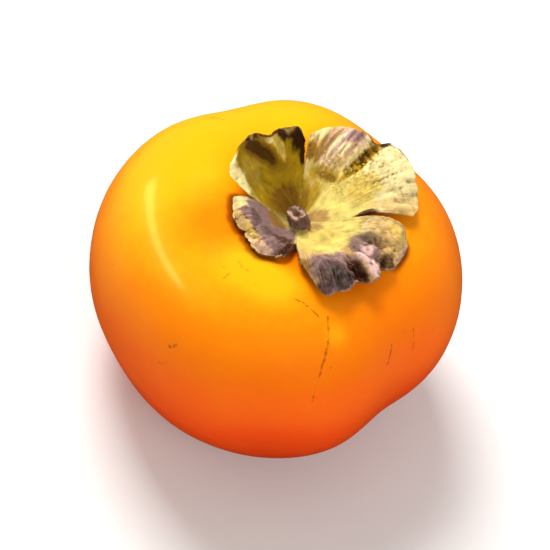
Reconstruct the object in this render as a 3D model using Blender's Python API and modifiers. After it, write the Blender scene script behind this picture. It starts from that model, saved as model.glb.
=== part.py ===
"""A ripe flat persimmon, resting on its blossom end.

Three solids in metres, +Z up along the core: the four-lobed fruit, the dried calyx pressed into the hollow on
its top, and the stub of stem that stands on the calyx. The origin is the middle of the flat spot it rests on.
"""

import math
from dataclasses import dataclass

import bmesh
import bpy
import numpy as np
from mathutils import Matrix

MM = 0.001

# The fruit, measured from its widest level. A profile power of 1 is an ellipse, and less is fuller.
LOBE_RADIUS = 40.6 * MM
UPPER_HEIGHT = 30.0 * MM
LOWER_HEIGHT = 31.0 * MM
PROFILE_POWER = 0.88
FLAT_DEPTH = 0.5 * MM  # cut off its lower end, so that it rests
WIDEST_LEVEL = LOWER_HEIGHT - FLAT_DEPTH
FRUIT_SEGMENTS = 64
FRUIT_RINGS = 44

# The hollow on top that holds the calyx, a little off the core.
HOLLOW_CENTRE = np.array([1.5, -0.5]) * MM
HOLLOW_DEPTH = 9.0 * MM
HOLLOW_RADIUS = 15.0 * MM

# The grooves between the lobes also crease the shoulders and the underside.
CREASE_AT = 0.55  # share of the radius where the creases are deepest
CREASE_SPREAD = 0.24
UPPER_CREASE = 20.0 * MM
LOWER_CREASE = 12.0 * MM

REACH_ROUNDS = 6  # rounds that find the share of the radius under a place
SLOPE_STEP = 0.2 * MM  # distance over which the fruit's slope is taken

# The calyx: one leathery sheet with four sepals.
SHEET_THICKNESS = 0.7 * MM
SHEET_GAP = 0.35 * MM  # clear space left between the sheet and the fruit
SHEET_BLEND = 0.6 * MM  # how softly the sheet lies down on the fruit
FLAT_MIDDLE = 2.0 * MM  # the sheet is level this far out from its middle
DISC_SLOPE = 36.0  # degrees, where the sepals part
NOTCH_TAPER = 3.0 * MM  # length over which a notch opens
TIP_POWER = 2.4  # a higher power gives a sepal a blunter tip
ROUNDING = 0.4  # how far its corners are drawn in: 0 is square, 1 is a disc
CORNER_CUT = 0.06  # share of its length taken off the outline at its corners
CORNER_POWER = 7
RELIEF_RAMP = 0.4  # share of a sepal over which its folds grow
RIBS = 6  # ribs fan out over each sepal
RIB_HEIGHT = 0.15 * MM
COLUMNS = 36
DISC_ROWS = 5
SEPAL_ROWS = 11
DISC_SHARE = DISC_ROWS / (DISC_ROWS + SEPAL_ROWS)
BEND_STEPS = 40  # steps that add up the sheet's slope from its middle outwards

# The stub of stem: a round form with a flared foot and a pitted end, which leans.
STUB_OUTLINE = np.array(  # radius and height, from the middle of its foot to the bottom of its pit
    ((0, 0), (2.3, 0), (2.6, 0.4), (2.2, 1.1), (2, 1.8), (2.2, 2.6), (1.8, 3), (1.1, 2.7), (0, 2.2))
) * MM
STUB_LEAN = (-0.4, -0.05)  # how far its end goes sideways, as a share of its height
STUB_OFFSET = np.array([-0.1, -0.7]) * MM  # from the middle of the calyx
STUB_GAP = 0.35 * MM  # clear space left between it and the sheet
STUB_STEPS = 20

WELD = 0.01 * MM
TINY = 1e-12  # keeps a division defined where a grid narrows to a point


@dataclass(frozen=True)
class Groove:
    """A groove between two lobes of the fruit."""

    azimuth: float  # degrees from +X towards +Y
    depth: float  # share of the radius
    width: float  # degrees


@dataclass(frozen=True)
class Notch:
    """Where two sepals part."""

    azimuth: float
    radius: float
    gap: float  # degrees that each of its sides opens by


@dataclass(frozen=True)
class Bay:
    """A bay in a sepal's outline, or a point where its depth is negative."""

    across: float
    width: float
    depth: float


@dataclass(frozen=True)
class Fold:
    """A rise in a sepal, or a dip if its height is negative. Along is 0 at the notches and 1 at the tip."""

    across: float
    width: float
    along: float
    reach: float
    height: float
    slant: float = 0.0  # how far it moves across the sepal from the notches to the tip


@dataclass(frozen=True)
class Sepal:
    """One sepal, between two notches, by lengths along the sheet from its middle and slopes in degrees.

    Places across the sepal run from -1 at its first notch to 1 at its second.
    """

    first: Notch
    second: Notch
    first_side: float  # length where its first side edge ends
    second_side: float
    length: float  # length at the tip
    tip: float  # place of the tip across it
    middle_slope: float
    tip_slope: float
    edge_turn: float  # degrees that its side edges turn up
    skew: float  # degrees that its second half turns up, and its first half down
    first_swing: float  # degrees that the end of its first side swings out past its notch
    second_swing: float
    bays: tuple[Bay, ...]
    folds: tuple[Fold, ...]


GROOVES = (
    Groove(-31, 0.085, 17),
    Groove(64, 0.070, 22),
    Groove(127, 0.065, 17),
    Groove(-137, 0.040, 26),
)

NOTCHES = (
    Notch(-84, 7.5 * MM, 1.6),
    Notch(17, 12.0 * MM, 2.2),
    Notch(103, 11.0 * MM, 0.6),
    Notch(183, 10.0 * MM, 0.8),
)

SEPALS = (
    Sepal(  # right front, crumpled and folded down over the shoulder
        NOTCHES[0], NOTCHES[1], first_side=18 * MM, second_side=25.2 * MM, length=25.2 * MM, tip=0.5,
        middle_slope=14, tip_slope=-58, edge_turn=-4, skew=-4, first_swing=0, second_swing=0,
        bays=(
            Bay(-0.72, 0.18, -2.8 * MM),
            Bay(-0.22, 0.07, 0.9 * MM),
            Bay(0.0, 0.35, 1.4 * MM),
            Bay(0.2, 0.08, 1.6 * MM),
            Bay(0.66, 0.2, -1.4 * MM),
        ),
        folds=(
            Fold(-0.5, 0.24, 0.6, 0.35, 1.9 * MM),
            Fold(-0.14, 0.08, 0.72, 0.28, -1.5 * MM),
            Fold(0.06, 0.09, 0.68, 0.35, 1.7 * MM),
            Fold(0.28, 0.1, 0.88, 0.22, -1.5 * MM),
            Fold(0.3, 0.12, 0.45, 0.25, 0.8 * MM),
            Fold(0.5, 0.09, 0.48, 0.3, -1.5 * MM),
            Fold(0.78, 0.2, 0.5, 0.4, 1.7 * MM),
        ),
    ),
    Sepal(  # right back, the broadest, with a fold between its two rounded halves
        NOTCHES[1], NOTCHES[2], first_side=27.6 * MM, second_side=23 * MM, length=28 * MM, tip=-0.35,
        middle_slope=16, tip_slope=-10, edge_turn=-14, skew=8, first_swing=6, second_swing=3,
        bays=(
            Bay(0.0, 0.05, -0.8 * MM),
            Bay(0.14, 0.08, 0.8 * MM),
            Bay(0.4, 0.3, 2.8 * MM),
            Bay(0.72, 0.2, 1.4 * MM),
        ),
        folds=(
            Fold(0.06, 0.13, 0.6, 0.55, -2.4 * MM),
            Fold(0.5, 0.28, 0.55, 0.38, 2.2 * MM),
            Fold(-0.35, 0.26, 0.6, 0.5, 0.8 * MM),
            Fold(-0.72, 0.08, 0.75, 0.3, -0.6 * MM),
            Fold(-0.92, 0.12, 0.7, 0.4, 0.9 * MM),
        ),
    ),
    Sepal(  # left back, standing up and cupped
        NOTCHES[2], NOTCHES[3], first_side=20.6 * MM, second_side=21.5 * MM, length=24.5 * MM, tip=-0.2,
        middle_slope=60, tip_slope=120, edge_turn=-10, skew=-20, first_swing=0, second_swing=0,
        bays=(Bay(-0.55, 0.2, -3.0 * MM), Bay(0.0, 0.15, 1.8 * MM), Bay(0.35, 0.06, -2.6 * MM)),
        folds=(
            Fold(-0.75, 0.22, 0.6, 0.4, -0.8 * MM),
            Fold(-0.25, 0.12, 0.55, 0.4, 0.9 * MM, 0.55),
            Fold(0.1, 0.2, 0.6, 0.4, -0.9 * MM, 0.9),
            Fold(0.82, 0.18, 0.8, 0.5, 1.0 * MM),
        ),
    ),
    Sepal(  # left front, the shortest, rolled down at its rim
        NOTCHES[3], NOTCHES[0], first_side=18 * MM, second_side=14.3 * MM, length=16.2 * MM, tip=-0.4,
        middle_slope=20, tip_slope=-52, edge_turn=0, skew=2, first_swing=0, second_swing=0,
        bays=(Bay(-0.2, 0.08, 0.6 * MM), Bay(0.1, 0.06, 0.5 * MM), Bay(0.5, 0.3, -0.3 * MM)),
        folds=(
            Fold(-0.5, 0.22, 0.6, 0.5, 1.0 * MM),
            Fold(-0.1, 0.16, 0.7, 0.4, -0.8 * MM),
            Fold(0.35, 0.2, 0.6, 0.5, 1.1 * MM),
        ),
    ),
)


def bell(distance, width):
    """1 at no distance, falling smoothly to nothing a few widths away."""
    return np.exp(-((distance / width) ** 2))


def ramp(value, low, high):
    """0 up to low and 1 from high, smooth between them."""
    share = np.clip((value - low) / (high - low), 0, 1)
    return share * share * (3 - 2 * share)


def groove_share(azimuth):
    """The share of the radius that the grooves take away at an azimuth in radians."""
    share = np.zeros_like(azimuth)
    for groove in GROOVES:
        away = azimuth - math.radians(groove.azimuth)
        away = (away + math.pi) % (2 * math.pi) - math.pi
        share += groove.depth * bell(away, math.radians(groove.width))
    return share


def crease_at(reach):
    """How strongly the creases mark the fruit at a share of its radius."""
    return bell(reach - CREASE_AT, CREASE_SPREAD)


def fullness(reach):
    """Height of the profile as a share, from 0 at the widest level to 1 at a pole."""
    return (1 - np.clip(reach, 0, 1) ** (2 / PROFILE_POWER)) ** (PROFILE_POWER / 2)


def fruit_radius(reach, azimuth):
    """Distance from the core at a share of the radius: the grooves fade towards the poles."""
    return LOBE_RADIUS * reach * (1 - groove_share(azimuth) * np.sqrt(reach))


def hollow_depth(x, y):
    """How deep the hollow for the calyx is at a place."""
    return HOLLOW_DEPTH * bell(np.hypot(x - HOLLOW_CENTRE[0], y - HOLLOW_CENTRE[1]), HOLLOW_RADIUS)


def upper_height(x, y, reach, azimuth):
    """Height of the fruit's upper half."""
    crease = UPPER_CREASE * groove_share(azimuth) * crease_at(reach)
    return WIDEST_LEVEL + UPPER_HEIGHT * fullness(reach) - hollow_depth(x, y) - crease


def lower_height(reach, azimuth):
    """Height of the fruit's lower half, cut level at the flat spot."""
    crease = LOWER_CREASE * groove_share(azimuth) * crease_at(reach)
    return np.maximum(WIDEST_LEVEL - LOWER_HEIGHT * fullness(reach) + crease, 0)


def top_of_fruit(x, y):
    """Height of the fruit's top under a place."""
    azimuth = np.arctan2(y, x)
    distance = np.hypot(x, y)
    reach = distance / LOBE_RADIUS
    for _ in range(REACH_ROUNDS):
        reach = np.clip(distance / (LOBE_RADIUS * (1 - groove_share(azimuth) * np.sqrt(reach))), 0, 1)
    return upper_height(x, y, reach, azimuth)


def clear_of_fruit(points, clearance):
    """The points, raised where they are nearer to the top of the fruit than the clearance."""
    x, y, z = points[..., 0], points[..., 1], points[..., 2]
    top = top_of_fruit(x, y)
    rise_x = top_of_fruit(x + SLOPE_STEP, y) - top
    rise_y = top_of_fruit(x, y + SLOPE_STEP) - top
    slope = np.hypot(rise_x, rise_y) / SLOPE_STEP
    lowest = top + clearance * np.sqrt(1 + slope**2)
    raised = (z + lowest + np.sqrt((z - lowest) ** 2 + SHEET_BLEND**2)) / 2
    return np.stack([x, y, raised], axis=-1)


def reach_of_sepal(sepal, across):
    """Length of the sheet from its middle to the sepal's outline."""
    side = np.where(across < sepal.tip, sepal.first_side, sepal.second_side)
    away = np.abs(across - sepal.tip) / np.where(across < sepal.tip, 1 + sepal.tip, 1 - sepal.tip)
    outline = side + (sepal.length - side) * (1 - away**TIP_POWER)
    outline = outline - CORNER_CUT * sepal.length * np.abs(across) ** CORNER_POWER
    for bay in sepal.bays:
        outline = outline - bay.depth * bell(across - bay.across, bay.width)
    return outline


def sheet_normals(points):
    """Unit normals of a grid of points, on its upper side."""
    across = np.gradient(points, axis=0)
    along = np.gradient(points, axis=1)
    normals = np.cross(along, across)
    length = np.linalg.norm(normals, axis=-1, keepdims=True)
    return normals / np.maximum(length, TINY)


def sepal_sheet(sepal, across, along):
    """Points of a sepal's upper face. Along is 0 at the middle of the calyx and 1 on the sepal's outline."""
    notch = np.interp(across, (-1, 1), (sepal.first.radius, sepal.second.radius))
    on_disc = np.clip(along / DISC_SHARE, 0, 1)
    on_blade = np.clip((along - DISC_SHARE) / (1 - DISC_SHARE), 0, 1)
    share = on_blade * np.sqrt(1 - ROUNDING * across**2 / 2)
    fan = across * np.sqrt(1 - ROUNDING * on_blade**2 / 2)
    length = notch * on_disc + (reach_of_sepal(sepal, across) - notch) * share
    out = np.zeros_like(length)
    up = np.zeros_like(length)
    middle = (notch + sepal.length) / 2
    for step in range(BEND_STEPS):
        at = length * (step + 0.5) / BEND_STEPS
        disc_slope = DISC_SLOPE * ramp(at, FLAT_MIDDLE, notch)
        to_middle = (sepal.middle_slope - DISC_SLOPE) * ramp(at, notch, middle)
        to_tip = (sepal.tip_slope - sepal.middle_slope) * ramp(at, middle, sepal.length)
        turned = (sepal.edge_turn * across**2 + sepal.skew * across) * ramp(at, notch, middle)
        slope = np.radians(disc_slope + to_middle + to_tip + turned)
        out += np.cos(slope) * length / BEND_STEPS
        up += np.sin(slope) * length / BEND_STEPS
    span = (sepal.second.azimuth - sepal.first.azimuth) % 360
    gap = np.interp(across, (-1, 1), (sepal.first.gap, sepal.second.gap))
    open_by = gap * np.clip((length - notch) / NOTCH_TAPER, 0, 1)
    swing = across * np.abs(across) * np.where(across < 0, sepal.first_swing, sepal.second_swing)
    centre = sepal.first.azimuth + span / 2 + swing * on_blade
    azimuth = np.radians(centre + fan * (span / 2 - open_by))
    middle_height = top_of_fruit(*HOLLOW_CENTRE) + SHEET_GAP + SHEET_THICKNESS
    x = HOLLOW_CENTRE[0] + out * np.cos(azimuth)
    y = HOLLOW_CENTRE[1] + out * np.sin(azimuth)
    points = np.stack([x, y, middle_height + up], axis=-1)
    blade = (length - notch) / (sepal.length - notch)
    relief = RIB_HEIGHT * np.cos(RIBS * math.pi * across)
    for fold in sepal.folds:
        aside = across - fold.across - fold.slant * (blade - fold.along)
        relief += fold.height * bell(aside, fold.width) * bell(blade - fold.along, fold.reach)
    relief *= ramp(blade, 0, RELIEF_RAMP)
    points = points + sheet_normals(points) * relief[..., None]
    return clear_of_fruit(points, SHEET_GAP + SHEET_THICKNESS)


def new_object(name, mesh, collection):
    """An object that shows a mesh, in the fruit's collection."""
    made = bpy.data.objects.new(name, mesh)
    collection.objects.link(made)
    return made


def mesh_from(bm, name):
    """A smooth-shaded mesh from a bmesh, which is freed."""
    mesh = bpy.data.meshes.new(name)
    bm.to_mesh(mesh)
    bm.free()
    mesh.shade_smooth()
    return mesh


def finish_with(made, colour, roughness):
    """Gives an object a material of its own."""
    material = bpy.data.materials.new(made.name)
    material.use_nodes = True
    shader = material.node_tree.nodes["Principled BSDF"]
    shader.inputs["Base Color"].default_value = (*colour, 1)
    shader.inputs["Roughness"].default_value = roughness
    shader.inputs["Metallic"].default_value = 0
    made.data.materials.append(material)


def add_fruit(collection):
    """The fruit: a sphere swollen into four lobes, hollowed on top and cut level underneath."""
    bm = bmesh.new()
    bmesh.ops.create_uvsphere(bm, u_segments=FRUIT_SEGMENTS, v_segments=FRUIT_RINGS, radius=1)
    for vertex in bm.verts:
        x, y, z = vertex.co
        azimuth = np.array(math.atan2(y, x))
        reach = np.array(min(math.hypot(x, y), 1.0) ** PROFILE_POWER)
        radius = float(fruit_radius(reach, azimuth))
        x, y = radius * math.cos(azimuth), radius * math.sin(azimuth)
        height = upper_height(x, y, reach, azimuth) if z > 0 else lower_height(reach, azimuth)
        vertex.co = (x, y, float(height))
    fruit = new_object("fruit", mesh_from(bm, "fruit"), collection)
    finish_with(fruit, colour=(0.90, 0.30, 0.02), roughness=0.3)


def add_calyx(collection):
    """The calyx: one grid for each sepal, bent to shape, welded along the disc and given its thickness."""
    bm = bmesh.new()
    rows = DISC_ROWS + SEPAL_ROWS
    for sepal in SEPALS:
        made = bmesh.ops.create_grid(bm, x_segments=COLUMNS, y_segments=rows, size=1)
        across, along = np.linspace(-1, 1, COLUMNS + 1), np.linspace(0, 1, rows + 1)
        sheet = sepal_sheet(sepal, *np.meshgrid(across, along, indexing="ij"))
        for vertex in made["verts"]:
            column = round((vertex.co.x + 1) / 2 * COLUMNS)
            row = round((vertex.co.y + 1) / 2 * rows)
            vertex.co = sheet[column, row]
    bmesh.ops.remove_doubles(bm, verts=bm.verts, dist=WELD)
    bmesh.ops.reverse_faces(bm, faces=bm.faces)
    bmesh.ops.triangulate(bm, faces=bm.faces)
    calyx = new_object("calyx", mesh_from(bm, "calyx"), collection)
    finish_with(calyx, colour=(0.32, 0.22, 0.10), roughness=0.75)
    solidify = calyx.modifiers.new("thickness", "SOLIDIFY")
    solidify.thickness = SHEET_THICKNESS
    solidify.offset = -1
    return calyx


def add_stem_stub(collection, calyx):
    """The stub of stem: an outline spun round, then sheared so that it leans on a level foot."""
    bm = bmesh.new()
    points = [bm.verts.new((radius, 0, height)) for radius, height in STUB_OUTLINE]
    edges = [bm.edges.new(ends) for ends in zip(points, points[1:])]
    bmesh.ops.spin(
        bm, geom=points + edges, axis=(0, 0, 1), angle=2 * math.pi, steps=STUB_STEPS, use_merge=True
    )
    bmesh.ops.remove_doubles(bm, verts=bm.verts, dist=WELD)
    bmesh.ops.recalc_face_normals(bm, faces=bm.faces)
    bmesh.ops.transform(bm, matrix=Matrix.Shear("XY", 4, STUB_LEAN), verts=bm.verts)
    x, y = HOLLOW_CENTRE + STUB_OFFSET
    reach = STUB_OUTLINE[:, 0].max() + STUB_GAP
    under = [v.co.z for v in calyx.data.vertices if math.hypot(v.co.x - x, v.co.y - y) < reach]
    bmesh.ops.translate(bm, vec=(x, y, max(under) + STUB_GAP), verts=bm.verts)
    stub = new_object("stem_stub", mesh_from(bm, "stem_stub"), collection)
    finish_with(stub, colour=(0.20, 0.11, 0.08), roughness=0.8)


def main():
    """Clears the scene and builds the persimmon."""
    for old in list(bpy.data.objects):
        bpy.data.objects.remove(old)
    collection = bpy.data.collections.new("persimmon")
    bpy.context.scene.collection.children.link(collection)
    add_fruit(collection)
    calyx = add_calyx(collection)
    add_stem_stub(collection, calyx)


main()
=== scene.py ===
"""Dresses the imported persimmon: its waxy skin, its dried calyx and its stub of stem.

Lengths are in metres, +Z runs up the core, and the fruit rests on z = 0. An azimuth is in degrees from +X
towards +Y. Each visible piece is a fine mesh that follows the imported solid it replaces.
"""
import logging
import math
from dataclasses import dataclass, field
from enum import Enum
from typing import NamedTuple

import bmesh
import bpy
import numpy as np
from bpy.types import Material, Mesh, Node, NodeSocket, NodeTree, Object
from mathutils import Matrix, Vector, noise
from mathutils.kdtree import KDTree


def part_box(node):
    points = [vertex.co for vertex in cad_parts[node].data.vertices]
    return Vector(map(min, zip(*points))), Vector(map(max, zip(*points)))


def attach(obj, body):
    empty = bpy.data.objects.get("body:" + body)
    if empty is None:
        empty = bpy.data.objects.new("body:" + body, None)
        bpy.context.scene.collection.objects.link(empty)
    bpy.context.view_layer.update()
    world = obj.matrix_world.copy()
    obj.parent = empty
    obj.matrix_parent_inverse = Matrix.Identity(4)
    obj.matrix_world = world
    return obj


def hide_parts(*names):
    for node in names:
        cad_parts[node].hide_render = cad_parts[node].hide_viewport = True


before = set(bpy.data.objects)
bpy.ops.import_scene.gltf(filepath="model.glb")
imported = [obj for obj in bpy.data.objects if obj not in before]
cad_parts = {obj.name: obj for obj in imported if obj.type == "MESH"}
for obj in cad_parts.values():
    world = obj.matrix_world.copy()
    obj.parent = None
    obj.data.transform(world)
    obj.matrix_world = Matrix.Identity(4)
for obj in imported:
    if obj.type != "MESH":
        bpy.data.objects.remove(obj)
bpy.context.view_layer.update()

MM = 0.001
WELD = 0.004 * MM
TINY = 1e-12
SEED_STEPS = (7.3, 3.1, 5.7)

Array = np.ndarray
Colour = tuple[float, float, float]
Place = tuple[float, float, float]
Range = tuple[float, float]
Value = float | tuple | Vector | NodeSocket

log = logging.getLogger("persimmon")


# ------------------------------------------------------------------------------------- shapes in numbers


def bell(distance: Array, width: float) -> Array:
    """Gives 1 at no distance, falling smoothly to nothing a few widths away."""
    return np.exp(-((distance / width) ** 2))


def ramp(value: Array, low: float, high: float) -> Array:
    """Gives 0 up to low and 1 from high, smooth between them."""
    share = np.clip((value - low) / (high - low), 0, 1)
    return share * share * (3 - 2 * share)


def stacked(*parts: Array | float) -> Array:
    """Arrays and numbers brought to one shape and set side by side on a new last axis."""
    return np.stack(np.broadcast_arrays(*parts), axis=-1)


def blended(first: Array, second: Colour, share: Array) -> Array:
    """Colours taken towards a second one, by a share for each place."""
    return first * (1 - share[..., None]) + np.array(second) * share[..., None]


def in_metres(place: Place) -> Place:
    """A place given in millimetres, in metres."""
    return tuple(axis * MM for axis in place)


def lumps(points: Array, size: float, octaves: int = 3, seed: float = 0.0) -> Array:
    """Smooth noise at each of the points.

    Args:
        points: Places, with x, y and z on the last axis.
        size: Rough width of a lump.
        octaves: How many finer layers of noise are added up.
        seed: Picks a different stretch of the same noise.

    Returns:
        A number from about -1 to 1 for each point.
    """
    shift = Vector([seed * step for step in SEED_STEPS])
    flat = (points / size).reshape(-1, 3).tolist()
    values = [noise.fractal(Vector(place) + shift, 1.0, 2.0, octaves) for place in flat]
    return np.array(values).reshape(points.shape[:-1])


@dataclass(frozen=True)
class Groove:
    """A groove between two lobes: azimuth and width in degrees, and depth as a share of the radius."""

    azimuth: float
    depth: float
    width: float


@dataclass(frozen=True)
class FruitForm:
    """The fruit's outer form, measured from its widest level."""

    lobe_radius: float = 40.6 * MM
    upper_height: float = 30.0 * MM
    lower_height: float = 31.0 * MM
    profile_power: float = 0.88
    flat_depth: float = 0.5 * MM
    hollow_centre: tuple[float, float] = (1.5 * MM, -0.5 * MM)
    hollow_depth: float = 9.0 * MM
    hollow_radius: float = 15.0 * MM
    crease_at: float = 0.55
    crease_spread: float = 0.24
    upper_crease: float = 20.0 * MM
    lower_crease: float = 12.0 * MM
    grooves: tuple[Groove, ...] = (
        Groove(-31, 0.085, 17),
        Groove(64, 0.070, 22),
        Groove(127, 0.065, 17),
        Groove(-137, 0.040, 26),
    )
    reach_rounds: int = 6
    slope_step: float = 0.2 * MM
    blend: float = 0.6 * MM

    @property
    def widest_level(self) -> float:
        """Height of the widest level over the ground."""
        return self.lower_height - self.flat_depth

    def groove_share(self, azimuth: Array) -> Array:
        """What the grooves take away.

        Args:
            azimuth: Direction from the core in radians.

        Returns:
            A share of the radius for each direction.
        """
        share = np.zeros_like(azimuth)
        for groove in self.grooves:
            away = azimuth - math.radians(groove.azimuth)
            away = (away + math.pi) % (2 * math.pi) - math.pi
            share = share + groove.depth * bell(away, math.radians(groove.width))
        return share

    def fullness(self, reach: Array) -> Array:
        """Height of the profile as a share, from 0 at the widest level to 1 at a pole."""
        return (1 - np.clip(reach, 0, 1) ** (2 / self.profile_power)) ** (self.profile_power / 2)

    def crease(self, reach: Array, azimuth: Array, depth: float) -> Array:
        """How deep the grooves crease the shoulders or the underside at a share of the radius."""
        return depth * self.groove_share(azimuth) * bell(reach - self.crease_at, self.crease_spread)

    def from_hollow(self, x: Array, y: Array) -> Array:
        """Level distance from the middle of the hollow."""
        return np.hypot(x - self.hollow_centre[0], y - self.hollow_centre[1])

    def upper(self, x: Array, y: Array, reach: Array, azimuth: Array) -> Array:
        """Height of the fruit's upper half.

        Args:
            x: First level coordinate of each place.
            y: Second level coordinate.
            reach: Distance from the core as a share of the radius there.
            azimuth: Direction from the core in radians.

        Returns:
            The height of each place over the ground.
        """
        hollow = self.hollow_depth * bell(self.from_hollow(x, y), self.hollow_radius)
        dome = self.widest_level + self.upper_height * self.fullness(reach)
        return dome - hollow - self.crease(reach, azimuth, self.upper_crease)

    def lower(self, reach: Array, azimuth: Array) -> Array:
        """Height of the fruit's lower half, level at the flat spot."""
        dome = self.widest_level - self.lower_height * self.fullness(reach)
        return np.maximum(dome + self.crease(reach, azimuth, self.lower_crease), 0)

    def top(self, x: Array, y: Array) -> Array:
        """Height of the fruit's top, found by rounds of closer reach.

        Args:
            x: First level coordinate of each place.
            y: Second level coordinate.

        Returns:
            The height over the ground.
        """
        azimuth, distance = np.arctan2(y, x), np.hypot(x, y)
        reach = distance / self.lobe_radius
        for _ in range(self.reach_rounds):
            shrunk = self.lobe_radius * (1 - self.groove_share(azimuth) * np.sqrt(reach))
            reach = np.clip(distance / shrunk, 0, 1)
        return self.upper(x, y, reach, azimuth)

    def clear(self, points: Array, clearance: float) -> Array:
        """Raises the points that are nearer to the top of the fruit than the clearance.

        Args:
            points: Places, with x, y and z on the last axis.
            clearance: The least distance from the fruit.

        Returns:
            The points, with x and y unchanged.
        """
        x, y, z = np.moveaxis(points, -1, 0)
        top = self.top(x, y)
        rise_x = self.top(x + self.slope_step, y) - top
        rise_y = self.top(x, y + self.slope_step) - top
        slope = np.hypot(rise_x, rise_y) / self.slope_step
        lowest = top + clearance * np.sqrt(1 + slope**2)
        raised = (z + lowest + np.sqrt((z - lowest) ** 2 + self.blend**2)) / 2
        return stacked(x, y, raised)


# ------------------------------------------------------------------------------------------- node trees


class Tree:
    """A node tree being filled in, with short calls for its nodes and links."""

    def __init__(self, tree: NodeTree) -> None:
        """Wraps an existing tree."""
        self.tree = tree

    def feed(self, socket: NodeSocket, value: Value) -> None:
        """Links a socket to another, or sets its value."""
        if isinstance(value, NodeSocket):
            self.tree.links.new(value, socket)
        else:
            socket.default_value = value

    def fill(self, made: Node, **inputs: Value) -> Node:
        """Feeds a node's inputs, by socket name with _ for a space, and gives the node back."""
        for name, value in inputs.items():
            self.feed(made.inputs[name.replace("_", " ")], value)
        return made

    def node(self, kind: str, settings: dict | None = None, **inputs: Value) -> Node:
        """Adds a node.

        Args:
            kind: Blender's name for the kind of node.
            settings: Properties of the node itself.
            **inputs: Values or sockets for its inputs, by socket name with _ for a space.

        Returns:
            The new node.
        """
        made = self.tree.nodes.new(kind)
        for name, value in (settings or {}).items():
            setattr(made, name, value)
        return self.fill(made, **inputs)

    def pair(self, kind: str, settings: dict, first: Value, second: Value) -> Node:
        """Adds a node of a kind that works on two values."""
        made = self.node(kind, settings)
        self.feed(made.inputs[0], first)
        self.feed(made.inputs[1], second)
        return made

    def math(self, operation: str, first: Value, second: Value, clamp: bool = False) -> NodeSocket:
        """The result of a sum on two numbers."""
        settings = {"operation": operation, "use_clamp": clamp}
        return self.pair("ShaderNodeMath", settings, first, second).outputs[0]

    def times(self, first: Value, second: Value) -> NodeSocket:
        """The product of two numbers."""
        return self.math("MULTIPLY", first, second)

    def minus(self, first: Value, second: Value, clamp: bool = False) -> NodeSocket:
        """What is left of one number less another."""
        return self.math("SUBTRACT", first, second, clamp)

    def plus(self, first: Value, *others: Value) -> NodeSocket:
        """The sum of several numbers."""
        for other in others:
            first = self.math("ADD", first, other)
        return first

    def vector(self, operation: str, first: Value, second: Value = (0.0, 0.0, 0.0)) -> NodeSocket:
        """The result of a sum on two vectors: a number for a distance or a product, otherwise a vector."""
        made = self.pair("ShaderNodeVectorMath", {"operation": operation}, first, second)
        return made.outputs["Value" if operation in ("LENGTH", "DOT_PRODUCT", "DISTANCE") else "Vector"]

    def scaled(self, vector: Value, factor: Value) -> NodeSocket:
        """A vector made longer or shorter."""
        made = self.node("ShaderNodeVectorMath", {"operation": "SCALE"}, Vector=vector, Scale=factor)
        return made.outputs["Vector"]

    def between(
        self, value: Value, low: float, high: float, to_low: float = 0.0, to_high: float = 1.0
    ) -> NodeSocket:
        """A number taken smoothly from one range into another.

        Args:
            value: The number.
            low: Start of its range.
            high: End of its range.
            to_low: What it becomes at the start and before it.
            to_high: What it becomes at the end and past it.

        Returns:
            The socket that gives the result.
        """
        return self.node(
            "ShaderNodeMapRange", {"interpolation_type": "SMOOTHSTEP"}, Value=value,
            From_Min=low, From_Max=high, To_Min=to_low, To_Max=to_high,
        ).outputs["Result"]

    def mix(self, share: Value, first: Value, second: Value, blend: str = "MIX") -> NodeSocket:
        """A colour between two others, or one laid on the other by a blend mode.

        Args:
            share: How much of the second there is.
            first: A colour, with or without its alpha, or a socket.
            second: Another one.
            blend: Blender's name for the blend mode.

        Returns:
            The socket that gives the colour.
        """
        made = self.node("ShaderNodeMix", {"data_type": "RGBA", "blend_type": blend})
        self.feed(made.inputs[0], share)
        for socket, value in ((made.inputs[6], first), (made.inputs[7], second)):
            self.feed(socket, (*value, 1.0) if isinstance(value, tuple) and len(value) == 3 else value)
        return made.outputs[2]

    def ramp(self, share: Value, stops: tuple[tuple[float, Colour], ...]) -> NodeSocket:
        """A colour from a run of stops.

        Args:
            share: How far along the run it is.
            stops: Colours with their places along the run, in order.

        Returns:
            The socket that gives the colour.
        """
        made = self.node("ShaderNodeValToRGB", Fac=share)
        elements = made.color_ramp.elements
        while len(elements) < len(stops):
            elements.new(0.5)
        for element, (place, colour) in zip(elements, stops):
            element.position = place
            element.color = (*colour, 1.0)
        return made.outputs["Color"]

    def place(self) -> NodeSocket:
        """Where on its object the surface is."""
        return self.node("ShaderNodeTexCoord").outputs["Object"]

    def level(self, vector: Value) -> NodeSocket:
        """The last part of a vector, which is the height of a place."""
        return self.node("ShaderNodeSeparateXYZ", Vector=vector).outputs["Z"]

    def attribute(self, name: str, output: str = "Fac") -> NodeSocket:
        """What the mesh's attribute of a name holds."""
        return self.node("ShaderNodeAttribute", {"attribute_name": name}).outputs[output]

    def clouds(self, output: str, **inputs: Value) -> NodeSocket:
        """An output of a noise texture."""
        return self.node("ShaderNodeTexNoise", **inputs).outputs[output]

    def shift(self, reach: Value, **inputs: Value) -> NodeSocket:
        """A shift by noise, up to half the reach each way along each axis."""
        wave = self.vector("SUBTRACT", self.clouds("Color", **inputs), (0.5, 0.5, 0.5))
        return self.scaled(wave, reach)

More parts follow.
